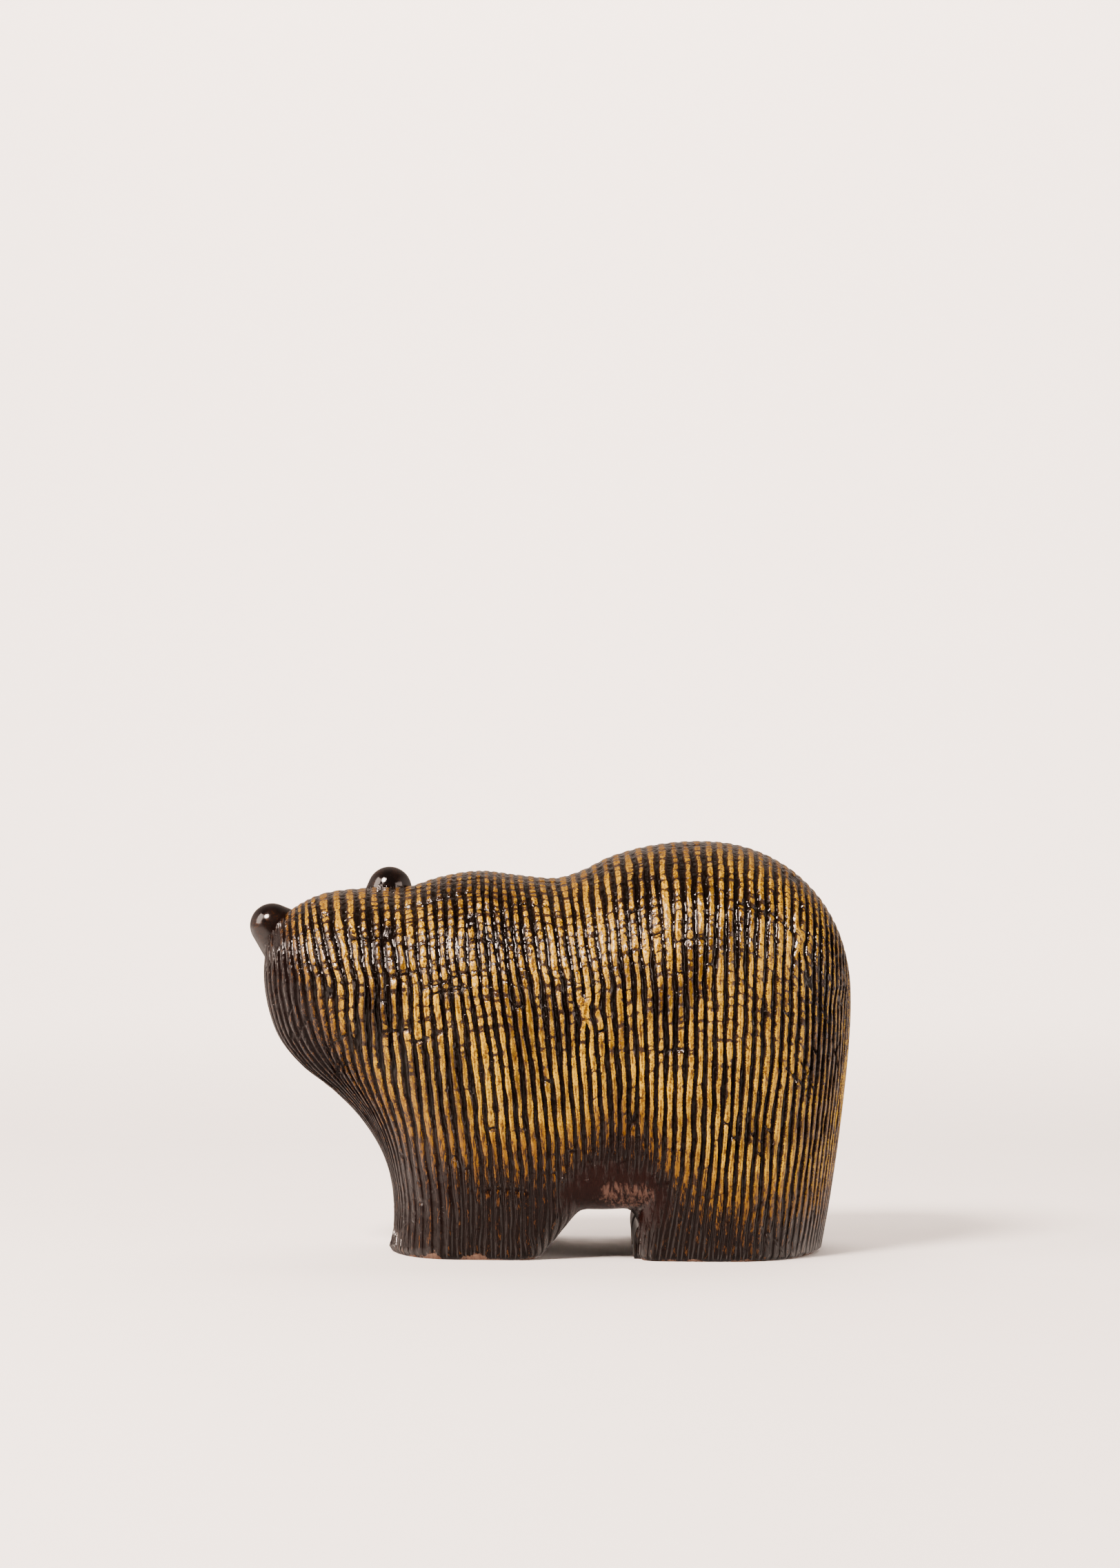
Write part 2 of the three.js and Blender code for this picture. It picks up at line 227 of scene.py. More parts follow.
RIB_PITCH = np.array([(-82, 3.1), (-72, 3.4), (-58, 3.4), (-46, 2.85), (86, 2.8)])
LEAN_ABOVE = np.array([
    (-82, 0), (-70, -2.7), (-60, -5.0), (-52, -3.4), (-44, -2.4), (-36, -1.8), (-20, -1.4), (-4, -3.2),
    (12, -2.6), (28, -1.2), (44, 0.3), (60, 0.9), (74, 0.4), (86, 0),
])
LEAN_RISE = 20


def way_round(height):
    """Places along the shown side at a height, and how far round the body each lies."""
    front = np.interp(height, front_line[:, 1], front_line[:, 0])
    rear = np.interp(height, rear_line[:, 1], rear_line[:, 0])
    x = front + (rear - front) * (1 - np.cos(np.linspace(0, math.pi, 241))) / 2
    y = side_width(x, np.full(len(x), float(height)), False)
    y[[0, -1]] = 0
    return x, np.append(0, np.cumsum(np.hypot(np.diff(x), np.diff(y))))


def guide_places(height):
    """The guides' places at a height, with the bends between the listed heights smoothed."""
    near = np.clip([height - 4, height, height + 4], 0, GUIDE_HEIGHT)
    return [np.interp(near, GUIDE_PATHS[:, 0], GUIDE_PATHS[:, k]).mean() for k in range(1, len(GUIDES) + 1)]


x, run = way_round(GUIDE_HEIGHT)
pitch = np.interp((x[1:] + x[:-1]) / 2, RIB_PITCH[:, 0], RIB_PITCH[:, 1])
count = np.append(0, np.cumsum(np.diff(run) / pitch))
guide_shares = np.concatenate([[0], np.interp(GUIDES, x, count) / count[-1], [1]])
print("ribs by their pitch:", round(float(count[-1]), 1), "used:", RIBS)

# %% [markdown]
# The guides alone would give each rib a kink where its spacing changes. So the ribs' places are worked out
# level by level, and a moving average evens out the spacing from rib to rib. Above the guide height, the
# ribs lean a little before they meet the crest of the back.

# %% Course of the ribs
LEVELS = np.arange(0, GUIDE_HEIGHT + 0.1, 2.5)
SHARES = np.linspace(0, 1, 1401)
EASE = 45
course = []
for height in LEVELS:
    x, run = way_round(height)
    guides_run = np.concatenate([[0], np.interp(guide_places(height), x, run), [run[-1]]])
    spread = np.interp(SHARES, guide_shares, guides_run)
    padded = np.pad(spread, EASE, mode="reflect", reflect_type="odd")
    eased = np.convolve(padded, np.full(2 * EASE + 1, 1 / (2 * EASE + 1)), mode="valid")
    course.append(np.interp(eased, run, x))
course = np.array(course)


def rib_x(share, z):
    """Where a rib line runs at a height, for its share of the way round."""
    level = np.clip(z, 0, GUIDE_HEIGHT - 1e-6) / (LEVELS[1] - LEVELS[0])
    place = np.clip(share, 0, 1 - 1e-9) * (len(SHARES) - 1)
    i, j = level.astype(int), place.astype(int)
    a, b = level - i, place - j
    low = course[i, j] * (1 - b) + course[i, j + 1] * b
    high = course[i + 1, j] * (1 - b) + course[i + 1, j + 1] * b
    x = low * (1 - a) + high * a
    rise = np.maximum(0, z - GUIDE_HEIGHT) / LEAN_RISE
    return x + np.interp(x, LEAN_ABOVE[:, 0], LEAN_ABOVE[:, 1]) * rise * smooth_step(0, 0.3, rise)


def rib_at(x):
    """Number of the rib that passes a place on the guide height."""
    return float(np.interp(x, course[-1], SHARES)) * RIBS


print("guide height ribs at head, shoulder, rump:", [round(rib_at(x), 1) for x in (-60, -20, 60)])

# %% [markdown]
# Nothing cut by hand is even, so many numbers below are shaken by a soft noise. Blender's noise textures
# suit a finished mesh. Here the shape is still only numbers, so a small noise is made from random knots with
# smooth blends between them. Its seed makes every run give the same bear.

# %% Soft noise in numbers
def noise_sheet(seed):
    """Smooth random values over a sheet, near -1 to 1, with knots one unit apart."""
    knots = np.random.default_rng(seed).uniform(-1, 1, (128, 128))

    def read(u, v):
        i, j = np.floor(u).astype(int), np.floor(v).astype(int)
        a, b = smooth_step(0, 1, u - i), smooth_step(0, 1, v - j)
        near, far = knots[i % 128, j % 128], knots[(i + 1) % 128, j % 128]
        near_up, far_up = knots[i % 128, (j + 1) % 128], knots[(i + 1) % 128, (j + 1) % 128]
        return (near * (1 - a) + far * a) * (1 - b) + (near_up * (1 - a) + far_up * a) * b

    return read


print("sample of the noise:", round(float(noise_sheet(1)(np.array(2.5), np.array(7.1))), 2))

# %% [markdown]
# A hand-cut groove wanders, gets wider and narrower, and here and there it stops, so that two ribs join in
# a Y. Strokes across the ribs break them, most of all on neck and shoulder. Only the larger strokes are
# carved in the mesh. The material draws the many fine ones later, which saves a great many faces. The marks
# are lists from a seeded random source, one set for each side, and a few cuts are listed one by one.

# %% Marks of the tool
NECK = (rib_at(-50), rib_at(4))
FLANK = (rib_at(4), rib_at(83))
HEAD = (rib_at(-76), rib_at(-50))
# ribs, first and last depth in mm, least and most mm between two strokes, share of long strokes
STROKE_ZONES = [
    (NECK, 3, 50, 30, 90, 0.8), (NECK, 50, 112, 40, 120, 0.4), (HEAD, 8, 70, 30, 90, 0.4),
    (FLANK, 5, 125, 40, 130, 0.4),
]
STROKE_SLOPE, LEAST_WIDTH, MOST_WIDTH = 0.35, 0.4, 0.6
JOIN_CHANCE, GAP_CHANCE = 0.06, 0.12


def tool_marks(seed, busy):
    """Strokes as (rib, depth, half length, slope, half width), and where ribs join or are lost.

    Joined and lost ribs are (rib, depth, half length). Depths down a rib are in mm.
    """
    rng = np.random.default_rng(seed)
    strokes, joins, gaps = [], [], []
    for (low, high), top, bottom, least, most, long_share in STROKE_ZONES:
        for rib in range(round(low), round(high)):
            depth = top + rng.uniform(0, most)
            while depth < bottom:
                reach = 0.5 + (rng.uniform(0.6, 1.6) if rng.random() < long_share else 0)
                slope = rng.uniform(-STROKE_SLOPE, STROKE_SLOPE)
                strokes.append((rib, depth, reach, slope, rng.uniform(LEAST_WIDTH, MOST_WIDTH)))
                depth += rng.uniform(least, most) / busy
    for rib in range(3, RIBS - 2):
        if rng.random() < JOIN_CHANCE:
            joins.append((rib, rng.uniform(20, 105), rng.uniform(1.5, 4.5)))
        if rng.random() < GAP_CHANCE:
            gaps.append((rib, rng.uniform(12, 95), rng.uniform(1.2, 3.5)))
    return np.array(strokes), np.array(joins), np.array(gaps)


marks = {False: tool_marks(4, 1.0), True: tool_marks(9, 0.7)}
LONG_CUTS = [
    (rib_at(-48), 30, 1.7, 0.1, 0.5), (rib_at(-12), 39, 1.8, 0.3, 0.6), (rib_at(-30), 20, 1.6, -0.1, 0.5),
    (rib_at(-21), 12, 1.8, 0.0, 0.45), (rib_at(33), 80, 1.2, 0.2, 0.55), (rib_at(-36), 9, 1.5, 0.1, 0.45),
]
marks[False] = (np.vstack([marks[False][0], LONG_CUTS]), marks[False][1], marks[False][2])
print("strokes, joins and gaps on the shown side:", [len(m) for m in marks[False]])

# %% [markdown]
# The surface is woven from closed rings, one set of seven for every rib: crest, shoulder, wall, floor,
# floor, wall and shoulder. Rings that follow the ribs need far fewer faces than an even net would, since a
# rib is straight along its length and sharp across it. Along each ring, points gather where a stroke crosses.

# %% Points along one side
RING_PHASES = np.array([0, 0.2, 0.32, 0.44, 0.56, 0.68, 0.8])
SIDE_POINTS = 88
UNDER_POINTS = 2
FINE = 150
ring_places = np.append((np.arange(RIBS)[:, None] + RING_PHASES).ravel(), RIBS)


def bump(offset, half):
    """1 in the middle of a mark, falling smoothly to 0 past its ends."""
    return 1 - smooth_step(0.75, 1.25, np.abs(offset) / half)


def wander(place, depth, face):
    """How far a rib line strays, in rib spacings."""
    slow, quick = noise_sheet(21 + face), noise_sheet(31 + face)
    stray = 0.13 * slow(place / 2.3, depth / 20) + 0.09 * quick(place, depth / 6)
    for rib, middle, half in marks[face][1]:
        off = place - rib - 0.5
        outer = -np.sign(off) * 0.35 * np.exp((0.5 - np.abs(off)) / 1.3)
        pull = np.where(np.abs(off) < 0.5, -0.7 * off, outer)
        stray = stray + pull * bump(depth - middle, half)
    calm = smooth_step(0, 4, place) * smooth_step(0, 4, RIBS - place) * smooth_step(0, 14, depth)
    return stray * calm


def side_lines(face):
    """Every ring's points on one side, from back to sole, and how deep down the side each lies in mm."""
    place = ring_places[:, None]
    crest = np.full(len(ring_places), float(GUIDE_HEIGHT))
    for _ in range(8):
        crest = np.interp(rib_x(ring_places / RIBS, crest), top_line[:, 0], top_line[:, 1])
    crest[[0, -1]] = front_line[-1, 1], rear_line[-1, 1]
    z = crest[:, None] * np.cos(np.linspace(0, math.pi / 2, FINE))
    z[:, -1] = 0
    rough_depth = 1.25 * (crest[:, None] - z) + 12 * smooth_step(0, 12, crest[:, None] - z)
    x = rib_x((place + wander(place, rough_depth, face)) / RIBS, z)
    y = side_width(x, z, face)
    y[:, 0] = 0
    y[[0, -1]] = 0
    y *= 1 if face else -1
    steps = np.sqrt(np.diff(x) ** 2 + np.diff(y) ** 2 + np.diff(z) ** 2)
    depth = np.hstack([np.zeros((len(x), 1)), np.cumsum(steps, axis=1)])
    crowd = np.ones_like(depth)
    for rib, middle, half, slope, _ in marks[face][0]:
        crossed = np.abs(ring_places - rib) < half + 0.4
        off = depth[crossed] - middle - slope * (place[crossed] - rib)
        crowd[crossed] += 3.2 * np.exp(-(off / 0.8) ** 2)
    weight = np.cumsum(np.hstack([np.zeros((len(x), 1)), steps * (crowd[:, 1:] + crowd[:, :-1]) / 2]), axis=1)
    made = np.empty((len(x), SIDE_POINTS + 1, 4))
    for i in range(len(x)):
        even = np.linspace(0, weight[i, -1], SIDE_POINTS + 1)
        for k, values in enumerate((x[i], y[i], z[i], depth[i])):
            made[i, :, k] = np.interp(even, weight[i], values)
    return made


shown_side, face_side = side_lines(False), side_lines(True)
face_side[[0, -1]] = shown_side[[0, -1]]
print("rings:", len(ring_places), "points down a side:", SIDE_POINTS + 1)

# %% [markdown]
# The honey glaze ends in a line that slants down from the chin to the front leg and rises over the belly. A
# mask could be painted by hand, but a short list of heights along the body is easier to change. A second
# list says how softly the glaze fades there. The carving reads both too, as the grooves are shallower on the
# dark lower legs.

# %% Where the honey glaze ends
HONEY_LINE = np.array([
    (-76, 100), (-73, 92), (-69, 77), (-62, 66), (-56, 57), (-50, 48), (-44, 40), (-38, 35), (-30, 32),
    (-10, 28), (4, 31), (12, 37), (20, 39), (28, 36), (36, 24), (48, 16), (78, 15), (86, 21),
])
HONEY_FADE = np.array([(-72, 18), (-60, 18), (-45, 20), (-30, 21), (0, 19), (20, 13), (40, 18), (90, 18)])


def honey_share(x, z):
    """1 where the ribs keep all their honey glaze, 0 on chin, throat and lower legs."""
    line = np.interp(x, HONEY_LINE[:, 0], HONEY_LINE[:, 1])
    fade = np.interp(x, HONEY_FADE[:, 0], HONEY_FADE[:, 1])
    return smooth_step(-fade, fade, z - line)


down_the_leg = [round(float(honey_share(-20.0, height)), 2) for height in (60.0, 27.0, 5.0)]
print("honey glaze from shoulder to foot:", down_the_leg)

# %% [markdown]
# The grooves are pressed in along the surface's own normal. A displace modifier could do that from a
# texture, but a formula in the ribs' own numbers keeps every groove sharp on its ring. Each point gets two
# values: how far up the rib's flank it lies, and whether a stroke crosses it. The depth fades on the wiped
# belly and the muzzle, along the back, at the soles and where the rings close at throat and rump.

# %% Carve the ribs
GROOVE_DEPTH = 0.95
LEG_DEPTH_SHARE, BACK_DEPTH_SHARE = 0.30, 0.2
SOLE_ROUNDING = 1.1
BELLY_X, BELLY_Z, BELLY_WIDTH, BELLY_HEIGHT = 18, 17, 17, 13


def rib_values(side, face):
    """Height up the rib's flank (0 floor, 1 crest) and strength of the strokes, for every point of a side."""
    place = np.broadcast_to(ring_places[:, None], side.shape[:2])
    depth = side[..., 3]
    flank = np.abs(place % 1 - 0.5) * 2
    flank = np.where(np.isclose(place % 1, 0), 1.0, flank)
    slow = noise_sheet(41 + face)(np.round(place), depth / 5)
    swell = slow + noise_sheet(51 + face)(place, depth / 1.7) * 0.5
    flank = flank + 0.16 * swell * 4 * flank * (1 - flank)
    for rib, middle, half in marks[face][1]:
        near = np.abs(place - rib - 0.5) < 0.5
        flank = np.where(near, flank + (1 - flank) * bump(depth - middle, half), flank)
    for rib, middle, half in marks[face][2]:
        near = np.abs(place - rib) < 0.5
        flank = np.where(near, flank * (1 - 0.8 * bump(depth - middle, half)), flank)
    stroke = np.zeros_like(depth)
    for rib, middle, half, slope, thick in marks[face][0]:
        off = np.abs(depth - middle - slope * (place - rib))
        reach = 1 - smooth_step(half - 0.1, half + 0.3, np.abs(place - rib))
        stroke = np.maximum(stroke, np.clip(1 - off / (2 * thick), 0, 1) * reach)
    return flank, stroke


def relief(side, flank, stroke, face):
    """Depth in mm by which the clay is pressed in, for every point of a side."""
    x, z, down = side[..., 0], side[..., 2], side[..., 3]
    groove = 1 - smooth_step(0.2, 0.62, flank)
    cut = 0.85 * smooth_step(0.3, 0.8, stroke)
    belly = np.hypot((x - BELLY_X) / BELLY_WIDTH, (z - BELLY_Z) / BELLY_HEIGHT)
    wiped = smooth_step(0.9, 1.6, muzzle_distance(x, z)) if face else smooth_step(0.5, 1.4, belly)
    full = np.maximum(honey_share(x, z), 0.8 * smooth_step(22, 45, z))
    share = LEG_DEPTH_SHARE + (1 - LEG_DEPTH_SHARE) * full
    share = share * (BACK_DEPTH_SHARE + (1 - BACK_DEPTH_SHARE) * smooth_step(4, 24, down))
    depth = GROOVE_DEPTH * np.maximum(groove, cut) * wiped * share * smooth_step(0, 5, z)
    place = np.broadcast_to(ring_places[:, None], depth.shape)
    depth = depth * smooth_step(0.3, 3, place) * smooth_step(0.3, 3, RIBS - place)
    edge = np.clip(1 - z / SOLE_ROUNDING, 0, 1)
    return depth + SOLE_ROUNDING * (1 - np.sqrt(1 - edge**2))


shown_flank, shown_stroke = rib_values(shown_side, False)
face_flank, face_stroke = rib_values(face_side, True)
shown_relief = relief(shown_side, shown_flank, shown_stroke, False)
face_relief = relief(face_side, face_flank, face_stroke, True)
print("deepest groove in mm:", round(float(shown_relief[:, :-4].max()), 2))

# %% [markdown]
# Each ring goes over the back, down the shown side, under the body and up again on the face's side. Places,
# relief and stored numbers are all put in this one order, so they fit the same points.

# %% Join the sides into rings
EAR_RADIUS = 6.35
LOW_EAR, HIGH_EAR = np.array([-79.2, 2, 91.5]), np.array([-46, 9, 101.8])
under_share = (np.arange(1, UNDER_POINTS + 1) / (UNDER_POINTS + 1))[None, :, None]


def ring_of(shown, face, under):
    """Values in ring order: shown side down, under the body, face side up."""
    return np.concatenate([shown, under, face[:, :0:-1]], axis=1)


sole_shown, sole_face = shown_side[:, -1:, :3], face_side[:, -1:, :3]
under_points = sole_shown * (1 - under_share) + sole_face * under_share
points = ring_of(shown_side[..., :3], face_side[..., :3], under_points)
flat_under = np.zeros((len(points), UNDER_POINTS))
flank = ring_of(shown_flank, face_flank, flat_under)
stroke = ring_of(shown_stroke, face_stroke, flat_under)
press = ring_of(shown_relief, face_relief, flat_under)
rib_number = np.broadcast_to(ring_places[:, None], flank.shape)
down = ring_of(shown_side[..., 3], face_side[..., 3], flat_under)
rings, around = flank.shape
print("ring grid:", rings, "by", around)

# %% [markdown]
# Numpy works out all the normals at once, from the two directions that the net runs in at a point. The end
# rings have no width, so theirs are taken from the outline. Round the ears the relief fades out, as the clay
# there was smeared smooth when they were pressed on.

# %% Press the grooves in
along = np.gradient(points, axis=0)
round_ring = np.roll(points, -1, axis=1) - np.roll(points, 1, axis=1)
normal = np.cross(round_ring, along)
for end, sign in ((0, 1), (-1, -1)):
    tangent = np.gradient(shown_side[end, :, :3], axis=0)
    outward = np.column_stack([tangent[:, 2], np.zeros(SIDE_POINTS + 1), -tangent[:, 0]]) * sign
    below = np.broadcast_to(outward[-1], (1, UNDER_POINTS, 3))
    normal[end] = ring_of(outward[None], outward[None], below)[0]
    press[end] = ring_of(shown_relief[[end]], shown_relief[[end]], flat_under[[end]])[0]
normal[np.isclose(points[..., 2], 0), 2] = 0
normal /= np.linalg.norm(normal, axis=2, keepdims=True) + 1e-12
for knob in (LOW_EAR, HIGH_EAR):
    press = press * smooth_step(EAR_RADIUS, EAR_RADIUS + 4, np.linalg.norm(points - knob, axis=2))
points = points - normal * press[..., None]
points[:, SIDE_POINTS:SIDE_POINTS + UNDER_POINTS + 2, 2] = 0
print("deepest press in mm:", round(float(press.max()), 2))

# %% [markdown]
# The rings are joined row by row into one net of four-sided faces. The end rings are flat slits along throat
# and rump, and merging their doubled points closes the skin, which the cuts below need. Four numbers stay on
# every point for the glaze to read: the height up the flank, the stroke, the rib's number and the way down.

# %% Skin of the body
def closed_object(name, places, faces):
    """A mesh object from places in mm, moved to the frame's origin."""
    mesh = bpy.data.meshes.new(name)
    mesh.from_pydata(((places + ORIGIN_SHIFT) * MM).tolist(), [], faces)
    made = bpy.data.objects.new(name, mesh)
    bpy.context.scene.collection.objects.link(made)
    return made


def merge_doubles(made):
    """Joins points in the same place, turns the faces outwards and gives the number of open edges."""
    shell = bmesh.new()
    shell.from_mesh(made.data)
    bmesh.ops.remove_doubles(shell, verts=shell.verts, dist=1e-6)
    bmesh.ops.recalc_face_normals(shell, faces=shell.faces)
    open_edges = sum(not edge.is_manifold for edge in shell.edges)
    shell.to_mesh(made.data)
    shell.free()
    return open_edges


def net_faces(rows, columns):
    """Four-sided faces over a grid of points whose last column joins its first."""
    i, j = np.meshgrid(np.arange(rows - 1), np.arange(columns), indexing="ij")
    a, b = i * columns + j, i * columns + (j + 1) % columns
    return np.stack([a, b, b + columns, a + columns], axis=-1).reshape(-1, 4).tolist()


def keep_value(made, name, values):
    """Stores one number for every point of a mesh, for the glaze to read."""
    kept = made.data.attributes.new(name, "FLOAT", "POINT")
    kept.data.foreach_set("value", np.ravel(values).astype(np.float32))


bear = closed_object("bear_body", points.reshape(-1, 3), net_faces(rings, around))
keep_value(bear, "flank", flank)
keep_value(bear, "stroke", stroke)
keep_value(bear, "rib", rib_number)
keep_value(bear, "down", down)
print("body open edges:", merge_doubles(bear), "faces:", len(bear.data.polygons))

# %% [markdown]
# The ears are balls of clay that a thumb smeared on to the head, so each one widens towards its foot. A
# turned profile gives that: a part of a circle that runs out into a cone. The nose is an oval pellet on the
# muzzle, and the eyes are two small pits that a rounded stick leaves.

# %% Turned pieces of clay
def turned(name, profile, start, direction, sides=44, squeeze=(1, 1, 1)):
    """A solid turned about a line, from a profile of (distance along the line, radius)."""
    line = Vector(direction).normalized()
    across = line.orthogonal().normalized()
    angles = np.linspace(0, 2 * math.pi, sides, endpoint=False)
    spokes = np.outer(np.cos(angles), across) + np.outer(np.sin(angles), line.cross(across))
    circles = [np.array(line) * run + spokes * radius for run, radius in profile[1:-1]]
    tips = [np.array([line]) * profile[end][0] for end in (0, -1)]
    places = start + np.vstack(circles + tips) * np.array(squeeze)
    last = len(circles) * sides
    faces = net_faces(len(circles), sides)
    for k in range(sides):
        faces.append((last, (k + 1) % sides, k))
        faces.append((last + 1, last - sides + k, last - sides + (k + 1) % sides))
    made = closed_object(name, places, faces)
    merge_doubles(made)
    return made


def ball_profile(radius, to_angle, steps):
    """Part of a circle, from the tip to an angle."""
    return [(-radius * math.cos(a), radius * math.sin(a)) for a in np.linspace(0, to_angle, steps)]


print("half ball, widest radius in mm:", round(ball_profile(EAR_RADIUS, math.pi / 2, 9)[-1][1], 2))

# %% [markdown]
# The nose and the eyes are placed on the face's own skin, so they stay on it when the muzzle changes. The
# line through both ears says which way up the face is. Every knob gets a number of its own, and by that
# number its faces are found again after the joining.

# %% Ears, nose and eyes
LOW_EAR_FOOT, HIGH_EAR_FOOT = np.array([-73, 3, 86]), np.array([-48, 8.5, 92])
LOW_EAR_FLARE, HIGH_EAR_FLARE = math.radians(19), math.radians(12)
NOSE_RADIUS, NOSE_RISE, NOSE_SQUEEZE = 4.8, 2.5, (1.25, 0.8, 1)
EYE_RADIUS, EYE_SPREAD, EYE_RISE, EYE_OUT_SHARE = 1.9, 8, 15, 0.4


def ear(name, centre, foot, flare):
    """A ball that runs out into a cone, as a thumb smears it on to the head."""
    reach = float(np.linalg.norm(foot - centre))
    ball = ball_profile(EAR_RADIUS, math.pi / 2 - flare, 16)
    start, wide = ball[-1]
    cone = [(run, wide + (run - start) * math.tan(flare)) for run in np.linspace(start + 0.7, reach, 12)]
    return turned(name, ball + cone + [(reach, 0)], centre, foot - centre)


def on_face(x, z, above):
    """A place on the face's side, standing out from the skin by so many mm."""
    return np.array([x, float(side_width(np.array(x), np.array(z), True)) + above, z])


ear_line = (HIGH_EAR - LOW_EAR) * (1, 0, 1)
ear_line /= np.linalg.norm(ear_line)
face_up = np.array([-ear_line[2], 0, ear_line[0]])
nose_place = on_face(MUZZLE_X, MUZZLE_Z, -0.5) + face_up * NOSE_RISE
nose = turned("nose", ball_profile(NOSE_RADIUS, math.pi, 25), nose_place, -ear_line, squeeze=NOSE_SQUEEZE)
knobs = [
    ear("low_ear", LOW_EAR, LOW_EAR_FOOT, LOW_EAR_FLARE),
    ear("high_ear", HIGH_EAR, HIGH_EAR_FOOT, HIGH_EAR_FLARE),
    nose,
]
for knob in knobs:
    keep_value(knob, "knob", np.ones(len(knob.data.vertices)))
pits = []
for side in (-1, 1):
    middle = on_face(MUZZLE_X, MUZZLE_Z, 0) + face_up * EYE_RISE + ear_line * side * EYE_SPREAD
    place = on_face(middle[0], middle[2], EYE_RADIUS * EYE_OUT_SHARE)
    pits.append(turned("eye_pit", ball_profile(EYE_RADIUS, math.pi, 15), place, (0, 1, 0), sides=24))
print("knobs:", [knob.name for knob in knobs], "eye pits:", len(pits))

# %% [markdown]
# The arch between the legs is cut right through, and a low groove parts left from right. A knife leaves no
# true plane in damp clay, so both cutters get slow waves before they cut.

# %% Outlines of the cutters
CUTTER_BELOW_FLOOR = 4
GROOVE_WIDTH, GROOVE_HEIGHT = 14, 11.3


def bend(a, b, c):
    """A rounded corner from a to c that leans towards b."""
    share = np.linspace(0, 1, 7)[:, None]
    return (1 - share) ** 2 * np.array(a) + 2 * share * (1 - share) * np.array(b) + share**2 * np.array(c)


slope = ARCH_CEILING / (ARCH_CEILING_FRONT - ARCH_FRONT)
slant_top = (ARCH_CEILING_FRONT - ARCH_CORNER / slope, ARCH_CEILING - ARCH_CORNER)
ceiling_start = (ARCH_CEILING_FRONT + ARCH_CORNER, ARCH_CEILING)
ceiling_end = (ARCH_CEILING_REAR - ARCH_CORNER, ARCH_CEILING)
knee = (ARCH_REAR, ARCH_CEILING - 2 * ARCH_CORNER)
arch_outline = np.vstack([
    [(ARCH_FRONT - CUTTER_BELOW_FLOOR / slope, -CUTTER_BELOW_FLOOR)],
    np.linspace((ARCH_FRONT, 0), slant_top, 8)[:-1],
    bend(slant_top, (ARCH_CEILING_FRONT, ARCH_CEILING), ceiling_start),
    np.linspace(ceiling_start, ceiling_end, 8)[1:-1],
    bend(ceiling_end, (ARCH_CEILING_REAR + 1, ARCH_CEILING), knee),
    bend(knee, (ARCH_HEEL - 0.6, ARCH_CEILING / 2), (ARCH_HEEL, 2))[1:],
    [(ARCH_HEEL, -CUTTER_BELOW_FLOOR)],
])
turn = np.linspace(0, math.pi, 13)
half = GROOVE_WIDTH / 2
groove_outline = np.vstack([
    [(-half, -CUTTER_BELOW_FLOOR), (half, -CUTTER_BELOW_FLOOR)],
    np.column_stack([half * np.cos(turn), GROOVE_HEIGHT - half + half * np.sin(turn)]),
])
print("points of the arch and of the groove:", len(arch_outline), len(groove_outline))

# %% [markdown]
# Each outline is drawn out into a prism. Its points move with a slow noise along the way, which leaves the
# waves of the knife in the cut.

# %% Cutters for the legs
KNIFE_WAVE = 0.22


def cutter(name, shape, low, high, steps, across):
    """A closed prism from an outline of (across, up), with slow waves on its sides."""
    waves = noise_sheet(61)
    rows = []
    for place in np.linspace(low, high, steps):
        run = np.full(len(shape), place)
        wave = KNIFE_WAVE * waves(shape[:, 0] / 6 + shape[:, 1] / 9, run / 7)
        side, up = shape[:, 0] + wave, shape[:, 1] + np.where(shape[:, 1] > 0, wave, 0)
        rows.append(np.column_stack((side, run, up) if across else (run, side, up)))
    count = len(shape)
    ends = [tuple(range(count)), tuple(range(steps * count - 1, (steps - 1) * count - 1, -1))]
    made = closed_object(name, np.vstack(rows), net_faces(steps, count) + ends)
    merge_doubles(made)
    return made


arch_cutter = cutter("arch_cutter", arch_outline, -60, 66, 40, True)
groove_cutter = cutter("groove_cutter", groove_outline, -70, 100, 60, False)
print("cutter faces:", len(arch_cutter.data.polygons), len(groove_cutter.data.polygons))

# %% [markdown]
# Blender's boolean modifier joins the knobs to the skin and makes the cuts. Its manifold solver is fast and
# keeps the numbers stored on the points, but it needs closed solids, so each piece above was closed first.
# The modifier's result is taken as a new mesh, which leaves one plain piece of clay.

# %% Join and cut
def joined(objects):
    """One object from several that don't touch."""
    bpy.ops.object.select_all(action="DESELECT")
    for one in objects:
        one.select_set(True)
    bpy.context.view_layer.objects.active = objects[0]
    bpy.ops.object.join()
    return objects[0]


def combine(operation, tool):
    """Adds a solid to the bear or cuts it away, and removes the tool."""
    step = bear.modifiers.new(operation.lower(), "BOOLEAN")
    step.operation, step.solver, step.object = operation, "MANIFOLD", tool
    graph = bpy.context.evaluated_depsgraph_get()
    solved = bear.evaluated_get(graph)
    shape = bpy.data.meshes.new_from_object(solved, preserve_all_data_layers=True, depsgraph=graph)
    bear.modifiers.clear()
    bear.data = shape
    bpy.data.objects.remove(tool)


combine("UNION", joined(knobs))
combine("DIFFERENCE", joined(pits + [arch_cutter]))
combine("DIFFERENCE", groove_cutter)
print("faces after joining and cutting:", len(bear.data.polygons), [a.name for a in bear.data.attributes])

# %% [markdown]
# Joining and cutting leaves a few needle-thin faces, which would catch the light as specks, so they are
# dissolved or merged first. All faces are then shaded smooth, and the sharp edges of the cuts are marked.
# So the light follows the rounded ribs and still breaks at the rims of the arch.

